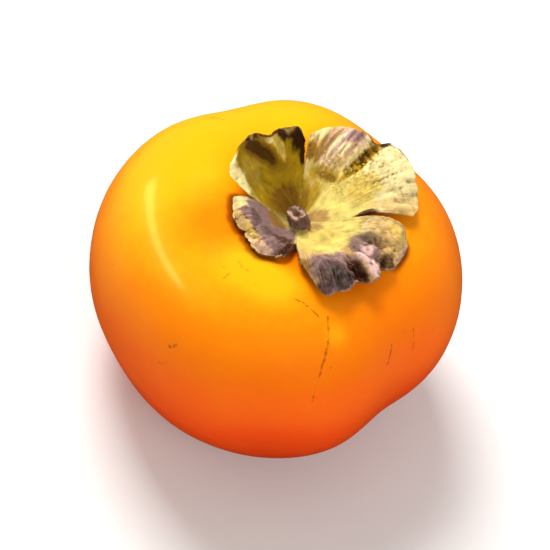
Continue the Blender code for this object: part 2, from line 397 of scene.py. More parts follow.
    def chance(self, low: Value, high: Value, seed: Value) -> NodeSocket:
        """A random number or vector for each instance.

        Args:
            low: The least that it can be.
            high: The most that it can be, as a number or vector like the first.
            seed: Picks other lots.

        Returns:
            The socket that gives it.
        """
        is_vector = isinstance(low, tuple)
        made = self.node(
            "FunctionNodeRandomValue", {"data_type": "FLOAT_VECTOR" if is_vector else "FLOAT"}, Seed=seed
        )
        first = 0 if is_vector else 2
        made.inputs[first].default_value = low
        made.inputs[first + 1].default_value = high
        return made.outputs[0 if is_vector else 1]

    def group(self, group: NodeTree, **inputs: Value) -> Node:
        """Places a shared group, with its own input values."""
        made = self.node(f"{group.bl_idname.replace('Tree', '')}Group", {"node_tree": group})
        return self.fill(made, **inputs)

    def dress(self, shader: Node, colour: Value, roughness: Value) -> None:
        """Gives a shader its colour and roughness."""
        self.fill(shader, Base_Color=colour, Roughness=roughness)

    def bump(self, shader: Node, height: Value, strength: float, depth: float) -> None:
        """Roughens a shader's surface by a height."""
        bump = self.node("ShaderNodeBump", Strength=strength, Distance=depth, Height=height)
        self.feed(shader.inputs["Normal"], bump.outputs["Normal"])


def socket_kind(value: Value | str) -> str:
    """Blender's name for the kind of socket that fits a default value or a word such as Float."""
    if isinstance(value, tuple):
        value = "Color" if len(value) == 4 else "Vector"
    elif not isinstance(value, str):
        value = "Int" if isinstance(value, int) else "Float"
    return f"NodeSocket{value}"


def new_group(
    kind: str, name: str, inputs: dict[str, Value | str], outputs: dict[str, str]
) -> tuple[Tree, dict[str, NodeSocket], Node]:
    """Starts a node group.

    Args:
        kind: Shader or Geometry.
        name: Name of the group.
        inputs: By name, a default value, or a word such as Material for an input that has none.
        outputs: By name, a word such as Float for the kind of output.

    Returns:
        The tree, its input sockets by name, and its output node.
    """
    tree = bpy.data.node_groups.new(name, f"{kind}NodeTree")
    for label, value in inputs.items():
        socket = tree.interface.new_socket(label, in_out="INPUT", socket_type=socket_kind(value))
        if not isinstance(value, str):
            socket.default_value = value
    for label, word in outputs.items():
        tree.interface.new_socket(label, in_out="OUTPUT", socket_type=socket_kind(word))
    given = tree.nodes.new("NodeGroupInput")
    sockets = {label: given.outputs[label] for label in inputs}
    return Tree(tree), sockets, tree.nodes.new("NodeGroupOutput")


class SharedGroups:
    """The shader node groups that several finishes place, each built once."""

    MASK_EDGE = (0.42, 0.58)
    LINE_EDGE = (0.38, 0.62)
    WIDE_LINES = (0.37, 0.8, 1.0)
    # Low places take the dark tint, high ones the bright and pale tints: darker and lighter tone, and painted
    # shade and highlights.
    DEEP: Colour = (0.36, 0.24, 0.12)
    DEEP_UNTIL = -0.6
    BRIGHT: Colour = (1.5, 1.5, 1.5)
    BRIGHT_FROM = 0.6
    PALE_TONE_AND_HIGHLIGHT: Colour = (0.66, 0.52, 0.42)
    PALE_TONE_AND_HIGHLIGHT_SHARE = 0.05
    TISSUE_ROUGHNESS = 0.74

    def __init__(self) -> None:
        """Builds every group."""
        self.mottle = self._mottle()
        self.fibre = self._fibre()
        self.scratch = self._scratch()
        self.speck = self._speck()
        self.tissue = self._tissue()

    def patches(self, tree: Tree, output: str, size: float, detail: float, seed: float) -> NodeSocket:
        """Places the mottle group in a tree and gives its Value or its Mask."""
        return tree.group(self.mottle, Size=size, Detail=detail, Seed=seed).outputs[output]

    def _mottle(self) -> NodeTree:
        """Uneven patches over the surface: a centred value and a mask with an even edge."""
        inputs = {"Size": 10.0 * MM, "Detail": 3.0, "Seed": 0.0}
        tree, given, out = new_group("Shader", "mottle", inputs, {"Value": "Float", "Mask": "Float"})
        patches = tree.node(
            "ShaderNodeTexNoise", {"noise_dimensions": "4D"}, Vector=tree.place(), W=given["Seed"],
            Scale=tree.math("DIVIDE", 1.0, given["Size"]), Detail=given["Detail"],
        ).outputs["Fac"]
        centred = tree.times(tree.minus(patches, 0.5), 2.0)
        tree.fill(out, Value=centred, Mask=tree.between(patches, *self.MASK_EDGE))
        return tree.tree

    def _fibre(self) -> NodeTree:
        """Fine lines that run along a surface, from a vector that holds across, along and a seed."""
        inputs = {"Surface": (0.0, 0.0, 0.0), "Lines": 40.0, "Breaks": 3.0}
        tree, given, out = new_group("Shader", "fibre", inputs, {"Light": "Float", "Height": "Float"})
        stretch = tree.node("ShaderNodeCombineXYZ", X=given["Lines"], Y=given["Breaks"], Z=1.0).outputs[0]
        place = tree.vector("MULTIPLY", given["Surface"], stretch)
        waves = tree.clouds("Fac", Vector=place, Scale=1.0, Detail=1.0, Roughness=0.4)
        wide = tree.vector("MULTIPLY", place, self.WIDE_LINES)
        broad = tree.clouds("Fac", Vector=wide, Scale=1.0, Detail=0.0)
        both = tree.plus(tree.times(waves, 0.7), tree.times(broad, 0.3))
        tree.fill(out, Light=tree.between(both, *self.LINE_EDGE), Height=both)
        return tree.tree

    def _scratch(self) -> NodeTree:
        """A thin line between two places, from the place it is asked at."""
        origin = (0.0, 0.0, 0.0)
        inputs = {"Place": origin, "Start": origin, "End": (0.0, 0.0, 10.0 * MM), "Width": 0.3 * MM}
        tree, given, out = new_group("Shader", "scratch", inputs, {"Mask": "Float"})
        away = tree.vector("SUBTRACT", given["Place"], given["Start"])
        line = tree.vector("SUBTRACT", given["End"], given["Start"])
        square = tree.vector("DOT_PRODUCT", line, line)
        share = tree.math("DIVIDE", tree.vector("DOT_PRODUCT", away, line), square, clamp=True)
        distance = tree.vector("DISTANCE", away, tree.scaled(line, share))
        tree.fill(out, Mask=tree.minus(1.0, tree.math("DIVIDE", distance, given["Width"]), clamp=True))
        return tree.tree

    def _speck(self) -> NodeTree:
        """Small round specks, scattered one to a cell where the cell's lot falls under the share."""
        inputs = {"Spacing": 4.0 * MM, "Size": 0.1, "Share": 0.2}
        tree, given, out = new_group("Shader", "speck", inputs, {"Mask": "Float"})
        scale = tree.math("DIVIDE", 1.0, given["Spacing"])
        cells = tree.node("ShaderNodeTexVoronoi", Vector=tree.place(), Scale=scale)
        lot = tree.node("ShaderNodeSeparateColor", Color=cells.outputs["Color"])
        chosen = tree.math("LESS_THAN", lot.outputs["Red"], given["Share"])
        size = tree.times(given["Size"], tree.plus(0.4, lot.outputs["Green"]))
        near = tree.minus(1.0, tree.math("DIVIDE", cells.outputs["Distance"], size), clamp=True)
        tree.fill(out, Mask=tree.times(near, chosen))
        return tree.tree

    def _tissue(self) -> NodeTree:
        """Dried sheet: its colour broken by fibres, patches and grain, with painted shade and highlights from
        its crests.
        """
        inputs = {"Veil": (0.5, 0.4, 0.2, 1.0), "Share": 0.0, "Lines": 46.0}
        outputs = {"Color": "Color", "Roughness": "Float", "Height": "Float"}
        tree, given, out = new_group("Shader", "tissue", inputs, outputs)
        fibrous = tree.attribute("fibrous")
        surface = tree.attribute("surface", "Vector")
        fibre = tree.group(self.fibre, Surface=surface, Lines=given["Lines"], Breaks=2.5)
        patch = self.patches(tree, "Value", 1.6 * MM, 4.0, 3.0)
        grain = self.patches(tree, "Value", 0.35 * MM, 2.0, 4.0)
        lines = tree.times(tree.minus(fibre.outputs["Light"], 0.55), 0.6)
        # The crests paint shade into the relief's valleys and highlights onto its crests.
        crests = tree.times(tree.minus(tree.attribute("crest"), 0.5), 0.9)
        lines = tree.times(lines, fibrous)
        light = tree.plus(lines, crests, tree.times(patch, 0.28), tree.times(grain, 0.22))
        colour = tree.mix(given["Share"], tree.attribute("tissue", "Color"), given["Veil"])
        # Darker where low: darker tone, and painted shade in the valleys.
        deep = tree.mix(1.0, colour, self.DEEP, "MULTIPLY")
        colour = tree.mix(tree.between(light, self.DEEP_UNTIL, 0.0, 1.0, 0.0), colour, deep)
        # Lighter where high: lighter tone, and painted highlights on the crests.
        lit = tree.between(light, 0.0, self.BRIGHT_FROM)
        colour = tree.mix(lit, colour, tree.mix(1.0, colour, self.BRIGHT, "MULTIPLY"))
        raised = tree.times(fibre.outputs["Height"], fibrous)
        tree.fill(
            out,
            # A pale tint on the high places: a painted highlight, with lighter tone.
            Color=tree.mix(tree.times(lit, self.PALE_TONE_AND_HIGHLIGHT_SHARE), colour, self.PALE_TONE_AND_HIGHLIGHT),
            Roughness=tree.plus(self.TISSUE_ROUGHNESS, tree.times(patch, 0.1)),
            Height=tree.plus(raised, tree.times(grain, 0.35), tree.times(patch, 0.4)),
        )
        return tree.tree


# --------------------------------------------------------------------------------------------- finishes


def new_material(name: str) -> tuple[Material, Tree, Node]:
    """Starts a material: gives it, its tree and its Principled shader."""
    material = bpy.data.materials.new(name)
    material.use_nodes = True
    return material, Tree(material.node_tree), material.node_tree.nodes["Principled BSDF"]


@dataclass(frozen=True)
class Scratch:
    """A healed scratch, or a cluster of flecks, along a path on the skin, in millimetres."""

    path: tuple[Place, ...]
    width: float
    strength: float = 0.8


@dataclass(frozen=True)
class Glow:
    """A round patch of painted light on the skin, in millimetres, yellower by its lift; a negative lift
    paints redder shade.
    """

    place: Place
    radius: float
    lift: float


@dataclass(frozen=True)
class SkinFinish:
    """Waxy skin that runs from red-orange at the blossom end to yellow on the shoulders, partly as painted
    light.
    """

    groups: SharedGroups
    scratches: tuple[Scratch, ...]
    glows: tuple[Glow, ...]
    # Higher is yellower and the lowest stop darkest: ripening, with painted light on the top and painted
    # shade at the bottom.
    stops: tuple[tuple[float, Colour], ...] = (
        (0.0, (0.52, 0.022, 0.001)),
        (0.35, (0.80, 0.064, 0.001)),
        (0.62, (0.93, 0.140, 0.001)),
        (0.84, (0.96, 0.250, 0.001)),
        (1.0, (0.96, 0.440, 0.004)),
    )
    height: float = 56.0 * MM
    # The side towards the lights is made yellower: a sunny side, and painted light.
    sunny_and_lit_side: tuple[float, float, float] = (-3.6, 2.2, 0.0)
    broad_share: float = 0.10
    fine_share: float = 0.035
    mark_shade: Colour = (0.40, 0.36, 0.5)
    mark_rise: float = -1.5
    waver: float = 1.3 * MM
    wave_scale: float = 150.0
    grain_scale: float = 1300.0
    grain_share: float = 1.3
    mark_edge: Range = (0.35, 0.75)
    speck_spacing: float = 6.5 * MM
    speck_size: float = 0.055
    speck_share: float = 0.16
    speck_strength: float = 0.6
    russet: Colour = (0.34, 0.060, 0.003)
    # Dark red-brown painted contact shadow under the calyx's rim, on skin that is a little darker there.
    stain_and_shade: Colour = (0.14, 0.016, 0.001)
    stain_and_shade_share: float = 0.8
    scar: Colour = (0.05, 0.020, 0.008)
    scar_radius: float = 1.5 * MM
    under_level: Range = (2 * MM, 4 * MM)
    roughness: float = 0.34

    def marks(self, tree: Tree, place: NodeSocket) -> NodeSocket:
        """Marks on the skin.

        Args:
            tree: The material's tree.
            place: Where on the fruit the surface is.

        Returns:
            The mask of scratches, flecks and specks, the first two broken up by a fine grain.
        """
        shift = tree.shift(self.waver, Vector=place, Scale=self.wave_scale, Detail=1.0)
        wandered = tree.vector("ADD", place, shift)
        marks = 0.0
        for scratch in self.scratches:
            path = [in_metres(point) for point in scratch.path]
            for start, end in zip(path, path[1:]):
                line = tree.group(
                    self.groups.scratch, Place=wandered, Start=start, End=end, Width=scratch.width * MM
                )
                marks = tree.math("MAXIMUM", marks, tree.times(line.outputs["Mask"], scratch.strength))
        grain = tree.clouds("Fac", Vector=place, Scale=self.grain_scale, Detail=2.0)
        broken = tree.plus(marks, tree.times(tree.minus(grain, 0.5), self.grain_share))
        marks = tree.times(tree.between(broken, *self.mark_edge), tree.between(marks, 0.0, 0.3, 0.0, 0.8))
        specks = tree.group(
            self.groups.speck, Spacing=self.speck_spacing, Size=self.speck_size, Share=self.speck_share
        ).outputs["Mask"]
        specks = tree.times(tree.between(specks, 0.0, 0.5), self.speck_strength)
        return tree.math("MAXIMUM", marks, specks)

    def ripeness_and_light(self, tree: Tree, place: NodeSocket, broad: NodeSocket, fine: NodeSocket) -> NodeSocket:
        """How far along the run of colours the skin is, which carries painted light and shade as well as
        ripeness.

        Args:
            tree: The material's tree.
            place: Where on the fruit the surface is.
            broad: Broad patches.
            fine: Fine patches.

        Returns:
            A number from 0 at the reddest to 1 at the yellowest.
        """
        level = tree.plus(
            tree.math("DIVIDE", tree.level(place), self.height),
            tree.vector("DOT_PRODUCT", place, self.sunny_and_lit_side),
            tree.times(broad, self.broad_share),
            tree.times(fine, self.fine_share),
        )
        # Each glow adds a patch of painted light, and of painted shade where its lift is negative.
        for glow in self.glows:
            away = tree.vector("DISTANCE", place, in_metres(glow.place))
            level = tree.plus(level, tree.between(away, 0.0, glow.radius * MM, glow.lift, 0.0))
        return level

    def blossom_end(self, tree: Tree, place: NodeSocket, colour: NodeSocket) -> NodeSocket:
        """The skin's colour with the blossom scar and its ring of russet laid over it.

        Args:
            tree: The material's tree.
            place: Where on the fruit the surface is.
            colour: The colour so far.

        Returns:
            The colour with the scar.
        """
        off_core = tree.vector("LENGTH", tree.vector("MULTIPLY", place, (1.0, 1.0, 0.0)))
        under = tree.between(tree.level(place), *self.under_level, 1.0, 0.0)
        scar = tree.between(off_core, self.scar_radius * 0.7, self.scar_radius * 1.3, 1.0, 0.0)
        russet = tree.between(off_core, self.scar_radius, self.scar_radius * 3.5, 0.6, 0.0)
        russet = tree.times(russet, self.groups.patches(tree, "Mask", 1.2 * MM, 4.0, 5.0))
        colour = tree.mix(tree.times(russet, under), colour, self.russet)
        return tree.mix(tree.times(scar, under), colour, self.scar)

    def material(self) -> Material:
        """Builds the material."""
        material, tree, shader = new_material("persimmon_skin")
        place = tree.place()
        broad = self.groups.patches(tree, "Value", 22.0 * MM, 2.0, 1.0)
        fine = self.groups.patches(tree, "Value", 2.2 * MM, 3.0, 2.0)
        marks = self.marks(tree, place)
        colour = tree.ramp(self.ripeness_and_light(tree, place, broad, fine), self.stops)
        # Painted contact shadow under the calyx's rim, with darker skin there.
        colour = tree.mix(tree.times(tree.attribute("stain_and_shade"), self.stain_and_shade_share), colour, self.stain_and_shade)
        colour = tree.mix(marks, colour, self.mark_shade, "MULTIPLY")
        roughness = tree.plus(self.roughness, tree.times(broad, 0.05), tree.times(marks, 0.3))
        tree.dress(shader, self.blossom_end(tree, place, colour), roughness)
        tree.bump(shader, tree.plus(fine, tree.times(marks, self.mark_rise)), 0.25, 0.04 * MM)
        tree.fill(
            shader, IOR=1.40, Specular_IOR_Level=0.12, Coat_Weight=0.16, Coat_Roughness=0.12,
            Subsurface_Weight=0.12, Subsurface_Radius=(1.0, 0.3, 0.08), Subsurface_Scale=3.0 * MM,
        )
        return material


@dataclass(frozen=True)
class SheetFinish:
    """One face of the dried calyx, or what grows on it, with a share of a veil over its painted colour."""

    groups: SharedGroups
    name: str
    veil: Colour
    veil_share: float
    lines: float = 46.0

    def material(self) -> Material:
        """Builds the material."""
        material, tree, shader = new_material(self.name)
        veil = (*self.veil, 1.0)
        tissue = tree.group(self.groups.tissue, Veil=veil, Share=self.veil_share, Lines=self.lines).outputs
        tree.dress(shader, tissue["Color"], tissue["Roughness"])
        tree.bump(shader, tissue["Height"], 0.7, 0.25 * MM)
        tree.fill(shader, Specular_IOR_Level=0.16, Sheen_Weight=0.04, Sheen_Roughness=0.5)
        return material


@dataclass(frozen=True)
class BarkFinish:
    """The broken stub: purple-brown bark, a pale cut ring and a dark pith, told apart by an attribute."""

    groups: SharedGroups
    bark: Colour = (0.095, 0.040, 0.034)
    bark_patch: Colour = (0.15, 0.075, 0.060)
    bark_ridge: Colour = (0.26, 0.15, 0.12)
    ring: Colour = (0.52, 0.32, 0.24)
    ring_dark: Colour = (0.15, 0.075, 0.060)
    pith: Colour = (0.13, 0.060, 0.022)
    roughness: float = 0.8

    def material(self) -> Material:
        """Builds the material."""
        material, tree, shader = new_material("stub_bark")
        surface = tree.attribute("surface", "Vector")
        fibre = tree.group(self.groups.fibre, Surface=surface, Lines=5.0, Breaks=2.0)
        patch = tree.group(self.groups.mottle, Size=1.1 * MM, Detail=4.0, Seed=6.0)
        zone = tree.plus(tree.level(surface), tree.times(patch.outputs["Value"], 0.3))
        colour = tree.mix(patch.outputs["Mask"], self.bark, self.bark_patch)
        colour = tree.mix(tree.times(fibre.outputs["Light"], 0.35), colour, self.bark_ridge)
        cut = tree.mix(self.groups.patches(tree, "Mask", 1.6 * MM, 3.0, 9.0), self.ring_dark, self.ring)
        colour = tree.mix(tree.between(zone, 0.85, 1.0), colour, cut)
        colour = tree.mix(tree.between(zone, 1.45, 1.7), colour, self.pith)
        tree.dress(shader, colour, self.roughness)
        height = tree.plus(fibre.outputs["Height"], tree.times(patch.outputs["Value"], 0.6))
        tree.bump(shader, height, 0.8, 0.3 * MM)
        return material


@dataclass(frozen=True)
class PaperFinish:
    """The floor's pale paper, slightly clouded, which gloss shows as a dark ground."""

    groups: SharedGroups
    dark: Colour = (0.84, 0.83, 0.81)
    light: Colour = (0.88, 0.87, 0.85)
    mirrored: Colour = (0.08, 0.05, 0.02)
    cloud_size: float = 0.2
    roughness: float = 0.7

    def material(self) -> Material:
        """Builds the material."""
        material, tree, shader = new_material("floor_paper")
        pale = tree.mix(self.groups.patches(tree, "Mask", self.cloud_size, 3.0, 8.0), self.dark, self.light)
        in_gloss = tree.node("ShaderNodeLightPath").outputs["Is Glossy Ray"]
        tree.dress(shader, tree.mix(in_gloss, pale, self.mirrored), self.roughness)
        return material


# ------------------------------------------------------------------------------------- making of meshes


def object_from(name: str, data: bpy.types.ID) -> Object:
    """An object that holds a mesh, a light or a camera, at the origin of the scene."""
    made = bpy.data.objects.new(name, data)
    bpy.context.scene.collection.objects.link(made)
    return made


def grid_mesh(name: str, points: Array, wrap: bool) -> Mesh:
    """A mesh from a grid of points.

    Args:
        name: Name of the mesh.
        points: Places by column and row, with x, y and z on the last axis.
        wrap: Whether the last column meets the first.

    Returns:
        The mesh, with a vertex for each point in column order.
    """
    columns, rows = points.shape[:2]
    index = np.arange(columns * rows).reshape(columns, rows)
    nearer = index if wrap else index[:-1]
    further = np.roll(index, -1, axis=0) if wrap else index[1:]
    quads = stacked(nearer[:, :-1], further[:, :-1], further[:, 1:], nearer[:, 1:]).reshape(-1, 4)
    mesh = bpy.data.meshes.new(name)
    mesh.from_pydata(points.reshape(-1, 3).tolist(), [], quads.tolist())
    return mesh


def paint(mesh: Mesh, name: str, kind: str, values: Array) -> None:
    """Stores an attribute on a mesh.

    Args:
        mesh: The mesh.
        name: Name of the attribute.
        kind: FLOAT, FLOAT_VECTOR or FLOAT_COLOR.
        values: A number, vector or colour for each vertex, in order.
    """
    attribute = mesh.attributes.new(name, kind, "POINT")
    field_name = {"FLOAT": "value", "FLOAT_VECTOR": "vector", "FLOAT_COLOR": "color"}[kind]
    attribute.data.foreach_set(field_name, values.astype(np.float32).ravel())


def dressed(name: str, mesh: Mesh, finish: SkinFinish | BarkFinish) -> Object:
    """Merges a closed mesh, turns its faces outwards and dresses it.

    Args:
        name: Name of the object.
        mesh: The mesh, which may have doubled vertices at its poles.
        finish: What gives its material.

    Returns:
        An object that shows it.
    """
    bm = bmesh.new()
    bm.from_mesh(mesh)
    bmesh.ops.remove_doubles(bm, verts=bm.verts, dist=WELD)
    bmesh.ops.recalc_face_normals(bm, faces=bm.faces)
    bm.to_mesh(mesh)
    bm.free()
    mesh.shade_smooth()
    mesh.materials.append(finish.material())
    return object_from(name, mesh)


def settled(source: Object, name: str) -> Object:
    """Turns what an object's modifiers make of it into a plain mesh.

    Args:
        source: The object, which is then removed.
        name: Name of the result.

    Returns:
        An object without modifiers.
    """
    graph = bpy.context.evaluated_depsgraph_get()
    evaluated = source.evaluated_get(graph)
    mesh = bpy.data.meshes.new_from_object(evaluated, preserve_all_data_layers=True, depsgraph=graph)
    source.modifiers.clear()
    bpy.data.objects.remove(source)
    mesh.name = name
    return object_from(name, mesh)


def normals_of(points: Array) -> Array:
    """Unit normals of a grid of points, on its upper side."""
    across, along = np.gradient(points, axis=0), np.gradient(points, axis=1)
    normals = np.cross(along, across)
    return normals / np.maximum(np.linalg.norm(normals, axis=-1, keepdims=True), TINY)


def deliver(piece: Object, node: str) -> Object:
    """Hands a finished piece to the frame.

    Args:
        piece: The piece.
        node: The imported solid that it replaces.

    Returns:
        The piece.
    """
    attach(piece, "root")
    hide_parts(node)
    return piece


# -------------------------------------------------------------------------------------------- the fruit


@dataclass
class FruitSkin:
    """The whole fruit as one fine skin, with soft lumps, a pucker round the calyx and a blossom scar.

    The cover holds places on the calyx's rim, close under which the skin takes painted contact shadow and is
    darker.
    A pair says where something starts and where it is full: the shoulder and foot by height, the others by
    distance.
    """

    form: FruitForm
    finish: SkinFinish
    cover: Array
    segments: int = 320
    rings: int = 196
    lump_size: float = 13.0 * MM
    lump_height: float = 0.07 * MM
    shoulder: Range = (35 * MM, 45 * MM)
    foot: Range = (0.2 * MM, 3 * MM)
    covered: Range = (17 * MM, 24 * MM)
    pucker_height: float = 0.02 * MM
    puckers: int = 38
    pucker_at: float = 19 * MM
    pucker_spread: float = 6 * MM
    pucker_inside: Range = (12 * MM, 20 * MM)
    wander_size: float = 9 * MM
    scar_top: float = 5 * MM
    pit_depth: float = 0.8 * MM
    pit_radius: float = 2.4 * MM
    tip_depth: float = 0.5 * MM
    tip_radius: float = 0.7 * MM
    stain_and_shade_reach: float = 1.9 * MM
    stain_and_shade_full: float = 1.0 * MM

    def stain_and_shade(self, points: Array) -> Array:
        """How far the skin is darkened close under the calyx's rim: painted contact shadow, and darker skin
        there.

        Args:
            points: Places on the skin, with x, y and z on the last axis.

        Returns:
            A share for each place, in one row.
        """
        rim = KDTree(len(self.cover))
        for index, place in enumerate(self.cover.tolist()):
            rim.insert(place, index)
        rim.balance()
        lowest = self.cover[:, 2].min() - self.stain_and_shade_reach
        flat = points.reshape(-1, 3)
        away = np.full(len(flat), self.stain_and_shade_reach)
        for index in np.flatnonzero(flat[:, 2] > lowest):
            away[index] = rim.find(flat[index])[2]
        return ramp(-away, -self.stain_and_shade_reach, -self.stain_and_shade_full)

    def points(self) -> Array:
        """Places on the skin by segment and ring, from the blossom end to the top."""
        azimuth = np.linspace(-math.pi, math.pi, self.segments, endpoint=False)[:, None]
        latitude = np.linspace(-math.pi / 2, math.pi / 2, self.rings)[None, :]
        reach = np.clip(np.cos(latitude), 0, 1) ** self.form.profile_power
        radius = self.form.lobe_radius * reach * (1 - self.form.groove_share(azimuth) * np.sqrt(reach))
        x, y = radius * np.cos(azimuth), radius * np.sin(azimuth)
        upper = self.form.upper(x, y, reach, azimuth)
        return stacked(x, y, np.where(latitude > 0, upper, self.form.lower(reach, azimuth)))

    def relief(self, points: Array) -> Array:
        """How far the skin stands out from the plain form.

        Args:
            points: Places on that form, with x, y and z on the last axis.

        Returns:
            A distance for each place.
        """
        x, y, z = np.moveaxis(points, -1, 0)
        away = self.form.from_hollow(x, y)
        on_top = ramp(z, *self.shoulder)
        free = (1 - on_top * (1 - ramp(away, *self.covered))) * ramp(z, *self.foot)
        out = self.lump_height * lumps(points, self.lump_size, octaves=2) * free
        around = np.arctan2(y - self.form.hollow_centre[1], x - self.form.hollow_centre[0])
        wander = lumps(points, self.wander_size, octaves=2, seed=3.0)
        wave = np.sin(self.puckers * around / 2 + 3 * wander)
        pucker = wave * bell(away - self.pucker_at, self.pucker_spread)
        return out + self.pucker_height * pucker * on_top * ramp(away, *self.pucker_inside)

    def build(self) -> Object:
        """Builds the skin and dresses it."""
        points = self.points()
        points = points - normals_of(points) * self.relief(points)[..., None]
        from_core = np.hypot(points[..., 0], points[..., 1])
        pit = self.pit_depth * bell(from_core, self.pit_radius)
        pit = pit - self.tip_depth * bell(from_core, self.tip_radius)
        low = points[..., 2] < self.scar_top
        points[..., 2] = np.maximum(points[..., 2] + np.where(low, pit, 0), 0)
        mesh = grid_mesh("fruit_skin", points, wrap=True)
        # Where the skin takes painted contact shadow under the calyx's rim.
        paint(mesh, "stain_and_shade", "FLOAT", self.stain_and_shade(points))
        return deliver(dressed("fruit_skin", mesh, self.finish), "fruit")


# -------------------------------------------------------------------------------------------- the calyx


class Tissue(Enum):
    """The tints that the dried calyx takes on."""

    FLESH = (0.74, 0.58, 0.15)
    STRAW = (0.57, 0.40, 0.07)
    OLIVE = (0.39, 0.23, 0.003)
    UMBER = (0.22, 0.10, 0.004)
    CREAM = (0.76, 0.62, 0.28)
    PALE = (0.95, 0.80, 0.34)
    TAN = (0.54, 0.335, 0.11)
    PINK = (0.66, 0.40, 0.26)
    ROSE = (0.62, 0.39, 0.34)
    MAUVE = (0.235, 0.135, 0.122)
    PURPLE = (0.088, 0.046, 0.043)
    MAROON = (0.050, 0.011, 0.004)
    SOOT = (0.040, 0.026, 0.022)
    BROWN = (0.040, 0.012, 0.001)


@dataclass(frozen=True)
class Notch:
    """Where two sepals part: azimuth, distance from the middle, and the degrees each side opens by."""

    azimuth: float
    radius: float
    gap: float


@dataclass(frozen=True)
class Bay:
    """A bay in a sepal's outline, or a point where its depth is negative."""

    across: float
    width: float
    depth: float


@dataclass(frozen=True)
class Ridges:
    """Fine ridges that run along part of a sepal: how many there would be over its whole width."""

    across: float
    width: float
    count: float
    height: float


@dataclass(frozen=True)
class Patch:
    """Something round a place on a sepal, by width across it and reach along it.

    Along is 0 at the notches and 1 at the tip. A slant is how far it moves across the sepal between them.
    """

    across: float
    width: float
    along: float
    reach: float
    slant: float = field(default=0.0, kw_only=True)

    def cover(self, across: Array, blade: Array) -> Array:
        """How fully the patch covers each place across and along the sepal."""
        away = across - self.across - self.slant * (blade - self.along)
        return bell(away, self.width) * bell(blade - self.along, self.reach)


@dataclass(frozen=True)
class Fold(Patch):
    """A rise in a sepal, or a dip if its height is negative."""

    height: float


@dataclass(frozen=True)
class Crumple(Patch):
    """Crumpled tissue, with the size and height of its billows."""

    size: float
    height: float


@dataclass(frozen=True)
class Stain(Patch):
    """A patch of a tint; some are painted shade in a sepal's dips and painted highlights on its ridges."""

    tissue: Tissue
    strength: float = 1.0


@dataclass(frozen=True, kw_only=True)
class Sepal:
    """One sepal, between two notches, by lengths along the sheet from its middle and slopes in degrees.

    Places across the sepal run from -1 at its first notch to 1 at its second. A swing is how many degrees
    the tip end of a side swings out past its notch. The sepal's number picks its noise.
    """

    number: int
    first: Notch
    second: Notch
    first_side: float
    second_side: float
    length: float
    tip: float
    middle_slope: float
    tip_slope: float
    edge_turn: float
    skew: float
    first_swing: float = 0
    second_swing: float = 0
    bays: tuple[Bay, ...]
    folds: tuple[Fold, ...]
    ragged: float
    ridges: tuple[Ridges, ...]
    crumples: tuple[Crumple, ...]
    veins: int = 0
    fibrous: float
    scurf: float = 0.0
    ground: Tissue
    rim: Tissue
    stains: tuple[Stain, ...]


NOTCHES = (
    Notch(-84, 7.5 * MM, 1.6),
    Notch(17, 12.0 * MM, 2.2),
    Notch(103, 11.0 * MM, 0.6),
    Notch(183, 10.0 * MM, 0.8),
)

